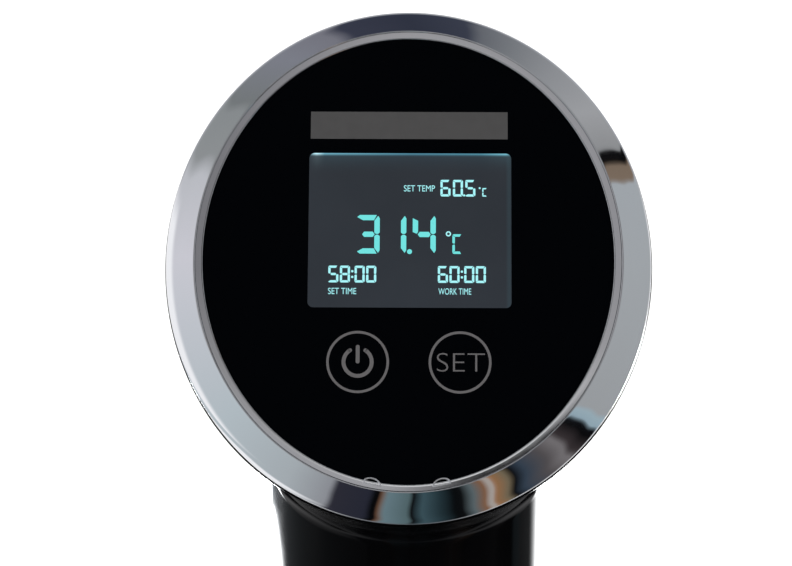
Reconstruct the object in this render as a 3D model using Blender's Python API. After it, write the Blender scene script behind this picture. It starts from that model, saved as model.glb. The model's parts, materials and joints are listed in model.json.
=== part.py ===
"""Sous vide circulator: a stick that clips to a pot's wall, heats the water and stirs it.

Frame: metres, +Z up along the stick, -Y towards the user (the display faces -Y and up).
Origin: centre of the bottom cap's flat underside, on the stick's axis.
"""

import math

import bmesh
import bpy
from mathutils import Matrix, Vector

MM = 0.001
GAP = 0.3 * MM  # between touching pieces

# ---------------------------------------------------------------- driving dimensions
NECK_R = 30.0 * MM
WALL = 2.5 * MM
NECK_BASE_Z = 174.3 * MM  # lower edge of the black housing
HORN_BASE_Z = 283.0 * MM  # where the round neck starts to widen into the head

FACE_TILT = math.radians(45)  # between the display's normal and straight up
FACE_CENTRE = Vector((0, -14.0 * MM, 345.0 * MM))
LENS_X, LENS_Y = 40.9 * MM, 45.1 * MM  # half axes of the black face that shows
RING_Y_SHARE = 0.925  # the trim grows this much along the long axis per unit across
BEZEL_OUT = 8.1 * MM  # how far the chrome ring reaches past the black face
RIM_DEPTH = 7.1 * MM  # the head's rim lies this far behind the black face

SLEEVE_R = 28.5 * MM
SLEEVE_WALL = 0.8 * MM
SLEEVE_BOTTOM, SLEEVE_TOP = 20.3 * MM, 170.7 * MM

FLANGE_R = 27.3 * MM
FLANGE_Z = 152.0 * MM  # underside of the bulkhead between water and motor
SHAFT_R = 2.5 * MM

LCD_X, LCD_Y = 43.0 * MM, 34.0 * MM
LCD_CENTRE_Y = 6.5 * MM  # above the face's centre
KEY_X, KEY_Y = 10.2 * MM, -20.1 * MM  # the two touch keys, on the face

COVER_X = 20.0 * MM  # half width of the rear cover
COVER_BOTTOM, COVER_TOP = 180.0 * MM, 322.0 * MM

SEAT_Y = 31.8 * MM  # flat seat of the clip on the rear cover
CLIP_PIN = Vector((0, 43.0 * MM, 241.0 * MM))
CLIP_HALF = 13.0 * MM
PIN_R = 1.5 * MM
LEVER_THICK = 2.8 * MM
RIM_STOP_Z = 227.0 * MM
BRACKET_SCREWS_Z = (234.5 * MM, 247.5 * MM)

# ---------------------------------------------------------------- materials
COLOURS = {
    "black_gloss": ((0.006, 0.006, 0.007), 0.12, 0.0),
    "black_satin": ((0.012, 0.012, 0.013), 0.45, 0.0),
    "chrome": ((0.82, 0.83, 0.85), 0.06, 1.0),
    "satin_metal": ((0.62, 0.62, 0.63), 0.28, 1.0),
    "stainless": ((0.66, 0.66, 0.65), 0.25, 1.0),
    "lens_black": ((0.002, 0.002, 0.003), 0.03, 0.0),
    "lcd": ((0.03, 0.035, 0.04), 0.2, 0.0),
    "white_plastic": ((0.85, 0.85, 0.82), 0.4, 0.0),
    "board_green": ((0.02, 0.12, 0.05), 0.4, 0.0),
    "rubber": ((0.02, 0.02, 0.02), 0.8, 0.0),
    "steel": ((0.55, 0.55, 0.56), 0.3, 1.0),
    "laminations": ((0.25, 0.25, 0.27), 0.5, 1.0),
    "brass": ((0.78, 0.58, 0.25), 0.25, 1.0),
    "aluminium": ((0.75, 0.76, 0.77), 0.35, 1.0),
}


def material(name):
    found = bpy.data.materials.get(name)
    if found:
        return found
    colour, roughness, metallic = COLOURS[name]
    made = bpy.data.materials.new(name)
    made.use_nodes = True
    shader = made.node_tree.nodes["Principled BSDF"]
    shader.inputs["Base Color"].default_value = (*colour, 1.0)
    shader.inputs["Roughness"].default_value = roughness
    shader.inputs["Metallic"].default_value = metallic
    return made


# ---------------------------------------------------------------- shape tools
def clear_scene():
    for old in list(bpy.data.objects):
        bpy.data.objects.remove(old)


def keep(name, bm, look, parent=None):
    """Turns a bmesh into a named object."""
    bmesh.ops.remove_doubles(bm, verts=bm.verts, dist=1e-7)
    bmesh.ops.recalc_face_normals(bm, faces=bm.faces)
    mesh = bpy.data.meshes.new(name)
    bm.to_mesh(mesh)
    bm.free()
    mesh.shade_smooth()
    mesh.set_sharp_from_angle(angle=math.radians(35))
    made = bpy.data.objects.new(name, mesh)
    bpy.context.scene.collection.objects.link(made)
    if look:
        made.data.materials.append(material(look))
    made.parent = parent
    return made


def helper(obj):
    """Marks a cutter or an added lump that is only there for a Boolean."""
    obj.hide_render = True
    obj.display_type = "WIRE"
    return obj


def boolean(obj, other, operation):
    change = obj.modifiers.new(f"{operation.lower()}_{other.name}", "BOOLEAN")
    change.operation = operation
    change.solver = "EXACT"
    change.object = helper(other)
    return obj


def use_manifold(obj):
    """For a piece with so many cuts close together that the exact solver leaves gaps."""
    for change in obj.modifiers:
        change.solver = "MANIFOLD"


def cut(obj, *others):
    for other in others:
        boolean(obj, other, "DIFFERENCE")
    return obj


def add(obj, *others):
    for other in others:
        boolean(obj, other, "UNION")
    return obj


def turned(name, profile, look=None, steps=28, parent=None, axis="Z", at=(0, 0, 0)):
    """A solid of revolution: a closed (radius, height) outline spun round the axis."""
    bm = bmesh.new()
    verts = [bm.verts.new((r, 0, z)) for r, z in profile]
    edges = [bm.edges.new((a, b)) for a, b in zip(verts, verts[1:] + verts[:1])]
    for edge in [e for e in edges if max(v.co.x for v in e.verts) < 1e-9]:
        bm.edges.remove(edge)
    bmesh.ops.spin(
        bm,
        geom=bm.verts[:] + bm.edges[:],
        cent=(0, 0, 0),
        axis=(0, 0, 1),
        angle=2 * math.pi,
        steps=steps,
        use_merge=True,
    )
    turn = {"Z": Matrix(), "Y": Matrix.Rotation(-math.pi / 2, 4, "X")}
    turn["X"] = Matrix.Rotation(math.pi / 2, 4, "Y")
    bmesh.ops.transform(bm, matrix=Matrix.Translation(at) @ turn[axis], verts=bm.verts)
    return keep(name, bm, look, parent)


def cylinder(name, radius, low, high, look=None, steps=12, **where):
    profile = [(0, low), (radius, low), (radius, high), (0, high)]
    return turned(name, profile, look, steps, **where)


def tube(name, inner, outer, low, high, look=None, **where):
    profile = [(inner, low), (outer, low), (outer, high), (inner, high)]
    return turned(name, profile, look, **where)


def o_ring(name, radius, thick, z, look, sides=6, steps=28):
    profile = [
        (radius + thick * math.cos(a), z + thick * math.sin(a))
        for a in (2 * math.pi * i / sides for i in range(sides))
    ]
    return turned(name, profile, look, steps=steps)


def box(name, low, high, look=None, parent=None, round_axis=None, radius=0.0, rounding=2, turn=None):
    """A block between two corners; the edges along round_axis are rounded."""
    bm = bmesh.new()
    bmesh.ops.create_cube(bm, size=1.0)
    low, high = Vector(low), Vector(high)
    for v in bm.verts:
        v.co = Vector([low[i] + (high[i] - low[i]) * (v.co[i] + 0.5) for i in range(3)])
    if round_axis is not None:
        along = [
            e
            for e in bm.edges
            if abs((e.verts[0].co - e.verts[1].co)[round_axis]) > 1e-9
        ]
        bmesh.ops.bevel(
            bm, geom=along, offset=radius, segments=rounding, profile=0.5, affect="EDGES"
        )
    if turn is not None:
        bmesh.ops.transform(bm, matrix=turn, verts=bm.verts)
    return keep(name, bm, look, parent)


def loft(name, sections, look=None, parent=None, hollow=False):
    """Skins rings of equal length; hollow joins the last ring back to the first."""
    bm = bmesh.new()
    rings = [[bm.verts.new(p) for p in section] for section in sections]
    pairs = list(zip(rings, rings[1:]))
    if hollow:
        pairs.append((rings[-1], rings[0]))
    else:
        bm.faces.new(reversed(rings[0]))
        bm.faces.new(rings[-1])
    count = len(rings[0])
    for a, b in pairs:
        for i in range(count):
            j = (i + 1) % count
            bm.faces.new((a[i], a[j], b[j], b[i]))
    return keep(name, bm, look, parent)


def plate(name, outline, low, high, look=None, parent=None, axis="Z"):
    """A flat outline pushed through a thickness along an axis."""
    place = {
        "X": lambda p, h: (h, p[0], p[1]),
        "Y": lambda p, h: (p[0], h, p[1]),
        "Z": lambda p, h: (p[0], p[1], h),
    }[axis]
    sections = [[place(p, h) for p in outline] for h in (low, high)]
    return loft(name, sections, look, parent)


def wire(name, points, radius, look, parent=None, resolution=2):
    """A round tube along points, closed at both ends."""
    curve = bpy.data.curves.new(name, "CURVE")
    curve.dimensions = "3D"
    curve.bevel_depth = radius
    curve.bevel_resolution = resolution
    curve.use_fill_caps = True
    spline = curve.splines.new("POLY")
    spline.points.add(len(points) - 1)
    for target, p in zip(spline.points, points):
        target.co = (*p, 1.0)
    curve.materials.append(material(look))
    made = bpy.data.objects.new(name, curve)
    bpy.context.scene.collection.objects.link(made)
    made.parent = parent
    return made


def circle(radius, count, z=0.0):
    steps = [2 * math.pi * i / count for i in range(count)]
    return [(radius * math.cos(a), radius * math.sin(a), z) for a in steps]


def rounded_rectangle(width, height, radius, centre=(0.0, 0.0), corner=4):
    points = []
    for quarter, (sx, sy) in enumerate(((1, 1), (-1, 1), (-1, -1), (1, -1))):
        middle_x = centre[0] + sx * (width / 2 - radius)
        middle_y = centre[1] + sy * (height / 2 - radius)
        for i in range(corner + 1):
            a = math.pi / 2 * (quarter + i / corner)
            points.append(
                (middle_x + radius * math.cos(a), middle_y + radius * math.sin(a))
            )
    return points


def smooth_path(points, per_span=4):
    """A Catmull-Rom curve through points."""
    knots = [Vector(p) for p in points]
    knots = [2 * knots[0] - knots[1], *knots, 2 * knots[-1] - knots[-2]]
    path = []
    for a, b, c, d in zip(knots, knots[1:], knots[2:], knots[3:]):
        for i in range(per_span):
            t = i / per_span
            path.append(
                0.5
                * (
                    2 * b
                    + (c - a) * t
                    + (2 * a - 5 * b + 4 * c - d) * t * t
                    + (3 * b - 3 * c + d - a) * t**3
                )
            )
    path.append(knots[-2])
    return path


def polar(radius, degrees, z=0.0):
    a = math.radians(degrees)
    return Vector((radius * math.cos(a), radius * math.sin(a), z))


# ---------------------------------------------------------------- head and housing
def face_axes():
    """(along the face upwards, out of the face)."""
    s, c = math.sin(FACE_TILT), math.cos(FACE_TILT)
    return Vector((0, c, s)), Vector((0, -s, c))


def face_frame():
    frame = bpy.data.objects.new("face_frame", None)
    frame.location = FACE_CENTRE
    frame.rotation_euler = (FACE_TILT, 0, 0)
    bpy.context.scene.collection.objects.link(frame)
    return frame


def face_ring(out, depth, count=36):
    """An ellipse on the face, 'out' past the black glass, in the face's own frame."""
    half_x, half_y = LENS_X + out, LENS_Y + out * RING_Y_SHARE
    return [
        (half_x * math.cos(a), half_y * math.sin(a), depth)
        for a in (2 * math.pi * i / count for i in range(count))
    ]


def face_turned(name, profile, look, parent, count=36):
    """A ring that follows the oval face: a closed (out, depth) outline."""
    sections = [face_ring(out, depth, count) for out, depth in profile]
    return loft(name, sections, look, parent, hollow=True)


def horn_point(angle, t, inset):
    """A point on the housing's wall: t runs from the round neck (0) to the oval rim (1)."""
    up, out = face_axes()
    neck_r = NECK_R - inset
    rim_x = LENS_X + BEZEL_OUT + 0.1 * MM - inset
    rim_y = LENS_Y + (BEZEL_OUT + 0.1 * MM) * RING_Y_SHARE - inset
    start = Vector((neck_r * math.cos(angle), neck_r * math.sin(angle), HORN_BASE_Z))
    end = (
        FACE_CENTRE
        + Vector((rim_x * math.cos(angle), 0, 0))
        + up * (rim_y * math.sin(angle))
        - out * RIM_DEPTH
    )
    reach = (end - start).length
    leave = Vector((0, 0, 1)) * (0.6 * reach)
    arrive = out * (0.55 * reach)
    t2, t3 = t * t, t**3
    return (
        start * (2 * t3 - 3 * t2 + 1)
        + leave * (t3 - 2 * t2 + t)
        + end * (3 * t2 - 2 * t3)
        + arrive * (t3 - t2)
    )


def back_y(z):
    """The housing's outside at the back, on the centre line, at height z."""
    if z <= HORN_BASE_Z:
        return NECK_R
    low, high = 0.0, 1.0
    for _ in range(40):
        t = (low + high) / 2
        if horn_point(math.pi / 2, t, 0).z < z:
            low = t
        else:
            high = t
    return horn_point(math.pi / 2, low, 0).y


def shell(name, look=None, around=36, along=6):
    """The black housing as one hollow wall, open at the bottom and at the face."""

    def wall(inset):
        ring = circle(NECK_R - inset, around, NECK_BASE_Z)
        rings = [ring]
        for i in range(along + 1):
            t = i / along
            rings.append(
                [
                    horn_point(2 * math.pi * k / around, t, inset)
                    for k in range(around)
                ]
            )
        return rings

    return loft(name, wall(0) + wall(WALL)[::-1], look, hollow=True)


def cover_block(name, shrink):
    """The block that splits the rear cover from the housing."""
    return box(
        name,
        (-COVER_X + shrink, 4 * MM, COVER_BOTTOM + shrink),
        (COVER_X - shrink, 70 * MM, COVER_TOP - shrink),
        round_axis=1,
        radius=7 * MM,
        rounding=4,
    )


COVER_SCREWS_X, COVER_SCREWS_Z = 12.5 * MM, 314.0 * MM
GLAND_Z = 300.0 * MM


def housing():
    cut(shell("main_housing", "black_gloss"), cover_block("cover_window", 0))


def rear_cover():
    cover = shell("rear_cover", "black_gloss")
    boolean(cover, cover_block("cover_outline", GAP), "INTERSECT")
    seat = box(
        "clip_seat",
        (-CLIP_HALF, 28.2 * MM, 184 * MM),
        (CLIP_HALF, SEAT_Y, 254 * MM),
        round_axis=1,
        radius=3 * MM,
    )
    gland_boss = cylinder(
        "gland_boss", 9.5 * MM, 26 * MM, back_y(GLAND_Z) + 1.6 * MM, axis="Y", at=(0, 0, GLAND_Z)
    )
    add(cover, seat, gland_boss)
    for side in (-1, 1):
        hook = box(
            f"cover_hook_{side}",
            (side * 9 * MM - 3 * MM, 22.2 * MM, 175.2 * MM),
            (side * 9 * MM + 3 * MM, 24.2 * MM, 186 * MM),
        )
        hook_root = box(
            f"hook_root_{side}",
            (side * 9 * MM - 3 * MM, 23.2 * MM, 182 * MM),
            (side * 9 * MM + 3 * MM, 27.4 * MM, 186 * MM),
        )
        boss = cylinder(
            f"cover_boss_{side}",
            4.2 * MM,
            20.3 * MM,
            29.5 * MM,
            axis="Y",
            at=(side * COVER_SCREWS_X, 0, COVER_SCREWS_Z),
        )
        add(cover, hook, hook_root, boss)
    cut(
        cover,
        cylinder("gland_hole", 5.6 * MM, 10 * MM, 60 * MM, axis="Y", at=(0, 0, GLAND_Z)),
    )
    for side in (-1, 1):
        where = (side * COVER_SCREWS_X, 0, COVER_SCREWS_Z)
        cut(
            cover,
            cylinder(f"screw_hole_{side}", 1.9 * MM, 10 * MM, 60 * MM, axis="Y", at=where),
            cylinder(f"screw_sink_{side}", 3.5 * MM, 25.4 * MM, 60 * MM, axis="Y", at=where),
        )
    for i in range(4):
        z = 266 * MM + i * 4.8 * MM
        cut(cover, box(f"vent_{i}", (-13 * MM, 10 * MM, z), (13 * MM, 60 * MM, z + 2.2 * MM)))
    for z in BRACKET_SCREWS_Z:
        hole = cylinder(f"seat_hole_{z:.4f}", 1.8 * MM, 20 * MM, 50 * MM, axis="Y", at=(0, 0, z), steps=16)
        cut(cover, hole)
    use_manifold(cover)


def cover_screws():
    for number, side in enumerate((-1, 1), 1):
        screw = turned(
            f"cover_screw_{number}",
            [
                (0, 14.0 * MM),
                (1.5 * MM, 14.0 * MM),
                (1.5 * MM, 25.7 * MM),
                (3.1 * MM, 25.7 * MM),
                (2.8 * MM, 27.5 * MM),
                (0, 27.8 * MM),
            ],
            "steel",
            steps=16,
            axis="Y",
            at=(side * COVER_SCREWS_X, 0, COVER_SCREWS_Z),
        )
        slot = box(
            f"screw_slot_{side}",
            (side * COVER_SCREWS_X - 2.2 * MM, 27.0 * MM, COVER_SCREWS_Z - 0.4 * MM),
            (side * COVER_SCREWS_X + 2.2 * MM, 29 * MM, COVER_SCREWS_Z + 0.4 * MM),
        )
        cut(screw, slot)


def cord_gland():
    seat = back_y(GLAND_Z) + 1.6 * MM + GAP
    turned(
        "cord_gland",
        [
            (3.4 * MM, 22.6 * MM),
            (7.4 * MM, 22.6 * MM),
            (7.4 * MM, 25.6 * MM),
            (5.2 * MM, 25.6 * MM),
            (5.2 * MM, seat),
            (7.6 * MM, seat),
            (7.6 * MM, seat + 2.6 * MM),
            (5.6 * MM, seat + 3.4 * MM),
            (4.9 * MM, seat + 9 * MM),
            (3.4 * MM, seat + 9 * MM),
        ],
        "rubber",
        steps=20,
        axis="Y",
        at=(0, 0, GLAND_Z),
    )


def bezel_profile():
    """The chrome ring's section: flat inside wall, rounded front, small outer bead."""
    inner, top = 2.15 * MM, 0.8 * MM
    across, drop = BEZEL_OUT - 0.3 * MM - inner - 0.4 * MM, 6.0 * MM
    section = [(inner, -3.2 * MM), (inner, 0.4 * MM)]
    for i in range(5):
        a = math.pi / 2 * i / 4
        # A quarter ellipse, flattened so the front stays mostly conical.
        section.append(
            (
                inner + 0.4 * MM + across * math.sin(a) ** 1.25,
                top - drop * (1 - math.cos(a) ** 1.25),
            )
        )
    section += [
        (BEZEL_OUT, -5.7 * MM),
        (BEZEL_OUT, -6.6 * MM),
        (BEZEL_OUT - 0.3 * MM, -6.8 * MM),
        (5.4 * MM, -6.8 * MM),
        (5.4 * MM, -3.2 * MM),
    ]
    return section


def head_front(frame):
    """What shows on the face: chrome ring, inner trim and black glass."""
    face_turned("bezel_ring", bezel_profile(), "chrome", frame)
    trim = face_turned(
        "lens_trim",
        [
            (1.25 * MM, -3.2 * MM),
            (1.8 * MM, -3.2 * MM),
            (1.8 * MM, 0.55 * MM),
            (1.5 * MM, 0.8 * MM),
            (0.1 * MM, 0.55 * MM),
            (0.0, 0.3 * MM),
            (1.25 * MM, 0.3 * MM),
        ],
        "satin_metal",
        frame,
    )
    for side in (-1, 1):
        tab = cylinder(
            f"trim_tab_{side}",
            1.5 * MM,
            0.32 * MM,
            0.62 * MM,
            steps=12,
            at=(side * 6.75 * MM, -LENS_Y * 0.9875, 0),
            parent=frame,
        )
        add(trim, tab)
    loft(
        "front_lens",
        [face_ring(0.95 * MM, -2.0 * MM), face_ring(0.95 * MM, 0.0)],
        "lens_black",
        frame,
    )
    face_turned(
        "lens_gasket",
        [
            (-1.2 * MM, -3.2 * MM),
            (0.9 * MM, -3.2 * MM),
            (0.9 * MM, -2.3 * MM),
            (-1.2 * MM, -2.3 * MM),
        ],
        "rubber",
        frame,
    )


BOARD_SCREW_X, BOARD_SCREW_Y = 24.0 * MM, -12.0 * MM
SPRING_TURNS, SPRING_TOP, SPRING_BOTTOM = 2.5, -2.9 * MM, -9.0 * MM


def head_inside(frame):
    """The display's carrier, the display itself, the control board and what is on it."""
    carrier = loft(
        "display_carrier",
        [face_ring(4.9 * MM, -5.6 * MM), face_ring(4.9 * MM, -3.5 * MM)],
        "black_satin",
        frame,
    )
    window = rounded_rectangle(LCD_X + 1 * MM, LCD_Y + 1 * MM, 2 * MM, (0, LCD_CENTRE_Y))
    cut(carrier, plate("lcd_window", window, -9 * MM, 0, parent=frame))
    for side in (-1, 1):
        cut(
            carrier,
            cylinder(
                f"key_window_{side}",
                6.3 * MM,
                -9 * MM,
                0,
                steps=16,
                at=(side * KEY_X, KEY_Y, 0),
                parent=frame,
            ),
        )
    panel = rounded_rectangle(LCD_X, LCD_Y, 1.5 * MM, (0, LCD_CENTRE_Y))
    plate("lcd_panel", panel, -5.0 * MM, -2.3 * MM, "lcd", frame)
    plate("lcd_backlight", panel, -8.6 * MM, -5.3 * MM, "white_plastic", frame)
    loft(
        "control_board",
        [face_ring(-2 * MM, -11.4 * MM), face_ring(-2 * MM, -9.8 * MM)],
        "board_green",
        frame,
    )
    for number, x in ((1, -BOARD_SCREW_X), (2, BOARD_SCREW_X)):
        here = {"steps": 16, "at": (x, BOARD_SCREW_Y, 0), "parent": frame}
        cut(
            bpy.data.objects["control_board"],
            cylinder(f"board_hole_{number}", 1.6 * MM, -14 * MM, -8 * MM, **here),
        )
        add(carrier, cylinder(f"board_post_{number}", 3.2 * MM, -9.5 * MM, -5 * MM, **here))
        cut(carrier, cylinder(f"post_hole_{number}", 1.3 * MM, -12 * MM, -6.2 * MM, **here))
        turned(
            f"board_screw_{number}",
            [
                (0, -6.8 * MM),
                (1.0 * MM, -6.8 * MM),
                (1.0 * MM, -11.7 * MM),
                (2.6 * MM, -11.7 * MM),
                (2.6 * MM, -13.4 * MM),
                (0, -13.4 * MM),
            ],
            "steel",
            **here,
        )
    for name, side in (("touch_spring_power", -1), ("touch_spring_set", 1)):
        count = int(SPRING_TURNS * 10)
        coil = []
        for i in range(count + 1):
            share = i / count
            a = 2 * math.pi * SPRING_TURNS * share
            r = (5.0 - 1.6 * share) * MM
            depth = SPRING_TOP + (SPRING_BOTTOM - SPRING_TOP) * share
            coil.append((side * KEY_X + r * math.cos(a), KEY_Y + r * math.sin(a), depth))
        wire(name, coil, 0.4 * MM, "steel", frame, resolution=1)
    cylinder(
        "buzzer",
        6 * MM,
        -17.5 * MM,
        -11.7 * MM,
        "black_satin",
        steps=24,
        at=(15 * MM, 20 * MM, 0),
        parent=frame,
    )


# ---------------------------------------------------------------- inside the neck
MOTOR_BASE, MOTOR_TOP = 180.3 * MM, 220.0 * MM
MOTOR_R = 17.5 * MM
POSTS = (30, 150, 270)  # degrees round the axis
POST_RADIUS = 20.5 * MM


def collar_and_flange():
    turned(
        "collar_ring",
        [
            (28.9 * MM, 164.0 * MM),
            (30.5 * MM, 164.6 * MM),
            (30.9 * MM, 165.4 * MM),
            (30.9 * MM, 172.6 * MM),
            (30.5 * MM, 174.0 * MM),
            (25.0 * MM, 174.0 * MM),
            (25.0 * MM, 171.3 * MM),
            (28.9 * MM, 171.3 * MM),
        ],
        "chrome",
        steps=36,
    )
    flange = turned(
        "heater_flange",
        [
            (5.6 * MM, FLANGE_Z),
            (26.5 * MM, FLANGE_Z),
            (FLANGE_R, FLANGE_Z + 0.8 * MM),
            (FLANGE_R, 159.6 * MM),
            (26.0 * MM, 159.6 * MM),
            (26.0 * MM, 161.4 * MM),
            (FLANGE_R, 161.4 * MM),
            (FLANGE_R, 171.0 * MM),
            (24.8 * MM, 171.0 * MM),
            (24.8 * MM, FLANGE_Z + 3 * MM),
            (5.6 * MM, FLANGE_Z + 3 * MM),
        ],
        "stainless",
        steps=28,
    )
    for name, (radius, degrees, hole_r) in flange_holes().items():
        hole = cylinder(
            f"flange_hole_{name}",
            hole_r,
            FLANGE_Z - 5 * MM,
            FLANGE_Z + 8 * MM,
            steps=10,
            at=polar(radius, degrees),
        )
        cut(flange, hole)
    o_ring("sleeve_seal", 26.9 * MM, 0.6 * MM, 160.5 * MM, "rubber")
    turned(
        "shaft_seal",
        [
            (2.8 * MM, 152.0 * MM),
            (5.3 * MM, 152.0 * MM),
            (5.3 * MM, 155.3 * MM),
            (8.0 * MM, 155.3 * MM),
            (8.0 * MM, 159.0 * MM),
            (2.8 * MM, 159.0 * MM),
        ],
        "rubber",
        steps=20,
    )


COIL_R, HEATER_R = 17.2 * MM, 2.75 * MM
INNER_LEG_R = 11.3 * MM
PROBE_R = 22.4 * MM


def flange_holes():
    """What passes through the bulkhead: (distance from the axis, angle, hole radius)."""
    holes = {
        "heater_outer": (COIL_R, 210, HEATER_R + GAP),
        "heater_inner": (INNER_LEG_R, 330, HEATER_R + GAP),
        "temperature": (PROBE_R, 60, 2.0 * MM + GAP),
        "level_low": (PROBE_R, 100, 1.5 * MM + GAP),
        "level_high": (PROBE_R, 118, 1.5 * MM + GAP),
    }
    for i, degrees in enumerate(POSTS):
        holes[f"post_{i}"] = (POST_RADIUS, degrees, 1.9 * MM)
    return holes


def heater_coil():
    """One stainless tube: down the outer leg, round the coil, up the inner leg."""
    top, bottom = 116 * MM, 66 * MM
    start, sweep, per_turn = 210, 5 * 360 + 132, 10
    path = [polar(COIL_R, start, z * MM) for z in (160, 128, 121)]
    count = round(sweep / 360 * per_turn)
    for i in range(count + 1):
        share = i / count
        path.append(polar(COIL_R, start - 8 - sweep * share, top + (bottom - top) * share))
    end = start - 8 - sweep
    knots = [
        path[-1],
        polar(COIL_R - 0.8 * MM, end - 24, 62.5 * MM),
        polar(INNER_LEG_R + 2.0 * MM, end - 52, 61.0 * MM),
        polar(INNER_LEG_R, end - 100, 68 * MM),
        polar(INNER_LEG_R, end - 100, 84 * MM),
        polar(INNER_LEG_R, end - 100, 160 * MM),
    ]
    path += smooth_path(knots, 3)[1:-3] + [knots[-1]]
    wire("heater_coil", path, HEATER_R, "stainless", resolution=1)


def probes():
    def rod(name, radius, degrees, low, look):
        tip = radius * 0.6
        turned(
            name,
            [
                (0, low),
                (radius * 0.6, low + tip * 0.3),
                (radius, low + tip),
                (radius, 161 * MM),
                (0, 161 * MM),
            ],
            look,
            steps=16,
            at=polar(PROBE_R, degrees),
        )

    rod("temperature_probe", 2.0 * MM, 60, 92 * MM, "stainless")
    rod("level_probe_low", 1.5 * MM, 100, 96 * MM, "stainless")
    rod("level_probe_high", 1.5 * MM, 118, 138 * MM, "stainless")


def motor():
    mount = tube("motor_mount", 6.5 * MM, 27.1 * MM, 177.0 * MM, 180.0 * MM, "aluminium")
    cut(mount, box("hook_notch", (-16 * MM, 21.6 * MM, 170 * MM), (16 * MM, 35 * MM, 190 * MM)))
    for i, degrees in enumerate(POSTS):
        where = polar(POST_RADIUS, degrees)
        add(mount, cylinder(f"post_{i}", 3.6 * MM, 155.4 * MM, 178 * MM, steps=12, at=where))
        cut(mount, cylinder(f"post_bore_{i}", 1.8 * MM, 150 * MM, 170 * MM, steps=10, at=where))
        turned(
            f"flange_screw_{i + 1}",
            [
                (0, 149.6 * MM),
                (2.8 * MM, 149.6 * MM),
                (2.8 * MM, 151.7 * MM),
                (1.5 * MM, 151.7 * MM),
                (1.5 * MM, 168 * MM),
                (0, 168 * MM),
            ],
            "steel",
            steps=16,
            at=where,
        )
    turned(
        "motor_can",
        [
            (6.3 * MM, MOTOR_BASE),
            (MOTOR_R, MOTOR_BASE),
            (MOTOR_R, MOTOR_TOP),
            (16.3 * MM, MOTOR_TOP),
            (16.3 * MM, 182.0 * MM),
            (6.3 * MM, 182.0 * MM),
        ],
        "steel",
    )
    tube("motor_stator", 11.5 * MM, 16.0 * MM, 186 * MM, 214 * MM, "laminations", steps=24)
    turned(
        "motor_end_cap",
        [
            (6.3 * MM, MOTOR_TOP + GAP),
            (MOTOR_R, MOTOR_TOP + GAP),
            (MOTOR_R, 222.4 * MM),
            (6.3 * MM, 222.4 * MM),
        ],
        "black_satin",
    )
    tube("motor_rotor", SHAFT_R + GAP, 11.0 * MM, 186 * MM, 214 * MM, "laminations", steps=24)
    tube("lower_bearing", SHAFT_R + GAP, 6.0 * MM, 180.6 * MM, 184.6 * MM, "steel", steps=16)
    tube("upper_bearing", SHAFT_R + GAP, 6.0 * MM, 218.6 * MM, 222.4 * MM, "steel", steps=16)
    turned(
        "drive_shaft",
        [
            (0, 8.0 * MM),
            (2.0 * MM, 8.0 * MM),
            (SHAFT_R, 8.6 * MM),
            (SHAFT_R, 233.6 * MM),
            (2.0 * MM, 234.0 * MM),
            (0, 234.0 * MM),
        ],
        "stainless",
        steps=16,
    )


def bladed(name, hub_r, tip_r, blades, root_deg, low, high, twist, look):
    """A hub with blades, swept upwards with a twist; the shaft passes through it."""

    def outline(turn, z):
        points = []
        for i in range(blades):
            middle = 360 * i / blades + turn
            half = root_deg / 2
            tip_half = half * hub_r / tip_r * 1.15
            points += [
                polar(hub_r, middle - half, z),
                polar((hub_r + tip_r) / 2, middle - (half + tip_half) / 2 + 3, z),
                polar(tip_r, middle - tip_half + 6, z),
                polar(tip_r, middle + tip_half + 6, z),
                polar((hub_r + tip_r) / 2, middle + (half + tip_half) / 2 + 3, z),
                polar(hub_r, middle + half, z),
            ]
        return points

    made = loft(name, [outline(0, low), outline(twist, high)], look)
    add(made, cylinder(f"{name}_hub", hub_r * 1.02, low - 1 * MM, high + 1 * MM, steps=24))
    cut(made, cylinder(f"{name}_bore", SHAFT_R + GAP, 0, 400 * MM, steps=24))


def turning_parts():
    bladed("cooling_fan", 6 * MM, 21 * MM, 7, 24, 225 * MM, 231.5 * MM, 26, "black_satin")
    bladed("impeller", 5.5 * MM, 18 * MM, 5, 22, 14 * MM, 25 * MM, 0, "black_satin")


def shaft_support():
    turned(
        "shaft_guide",
        [
            (3.6 * MM, 44.0 * MM),
            (4.6 * MM, 44.0 * MM),
            (4.6 * MM, 150.2 * MM),
            (8.0 * MM, 150.2 * MM),
            (8.0 * MM, 151.7 * MM),
            (3.6 * MM, 151.7 * MM),
        ],
        "stainless",
        steps=16,
    )
    turned(
        "lower_bush",
        [
            (SHAFT_R + GAP, 36.0 * MM),
            (5.6 * MM, 36.0 * MM),
            (5.6 * MM, 43.7 * MM),
            (3.3 * MM, 43.7 * MM),
            (3.3 * MM, 50.0 * MM),
            (SHAFT_R + GAP, 50.0 * MM),
        ],
        "white_plastic",
        steps=16,
    )


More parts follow.
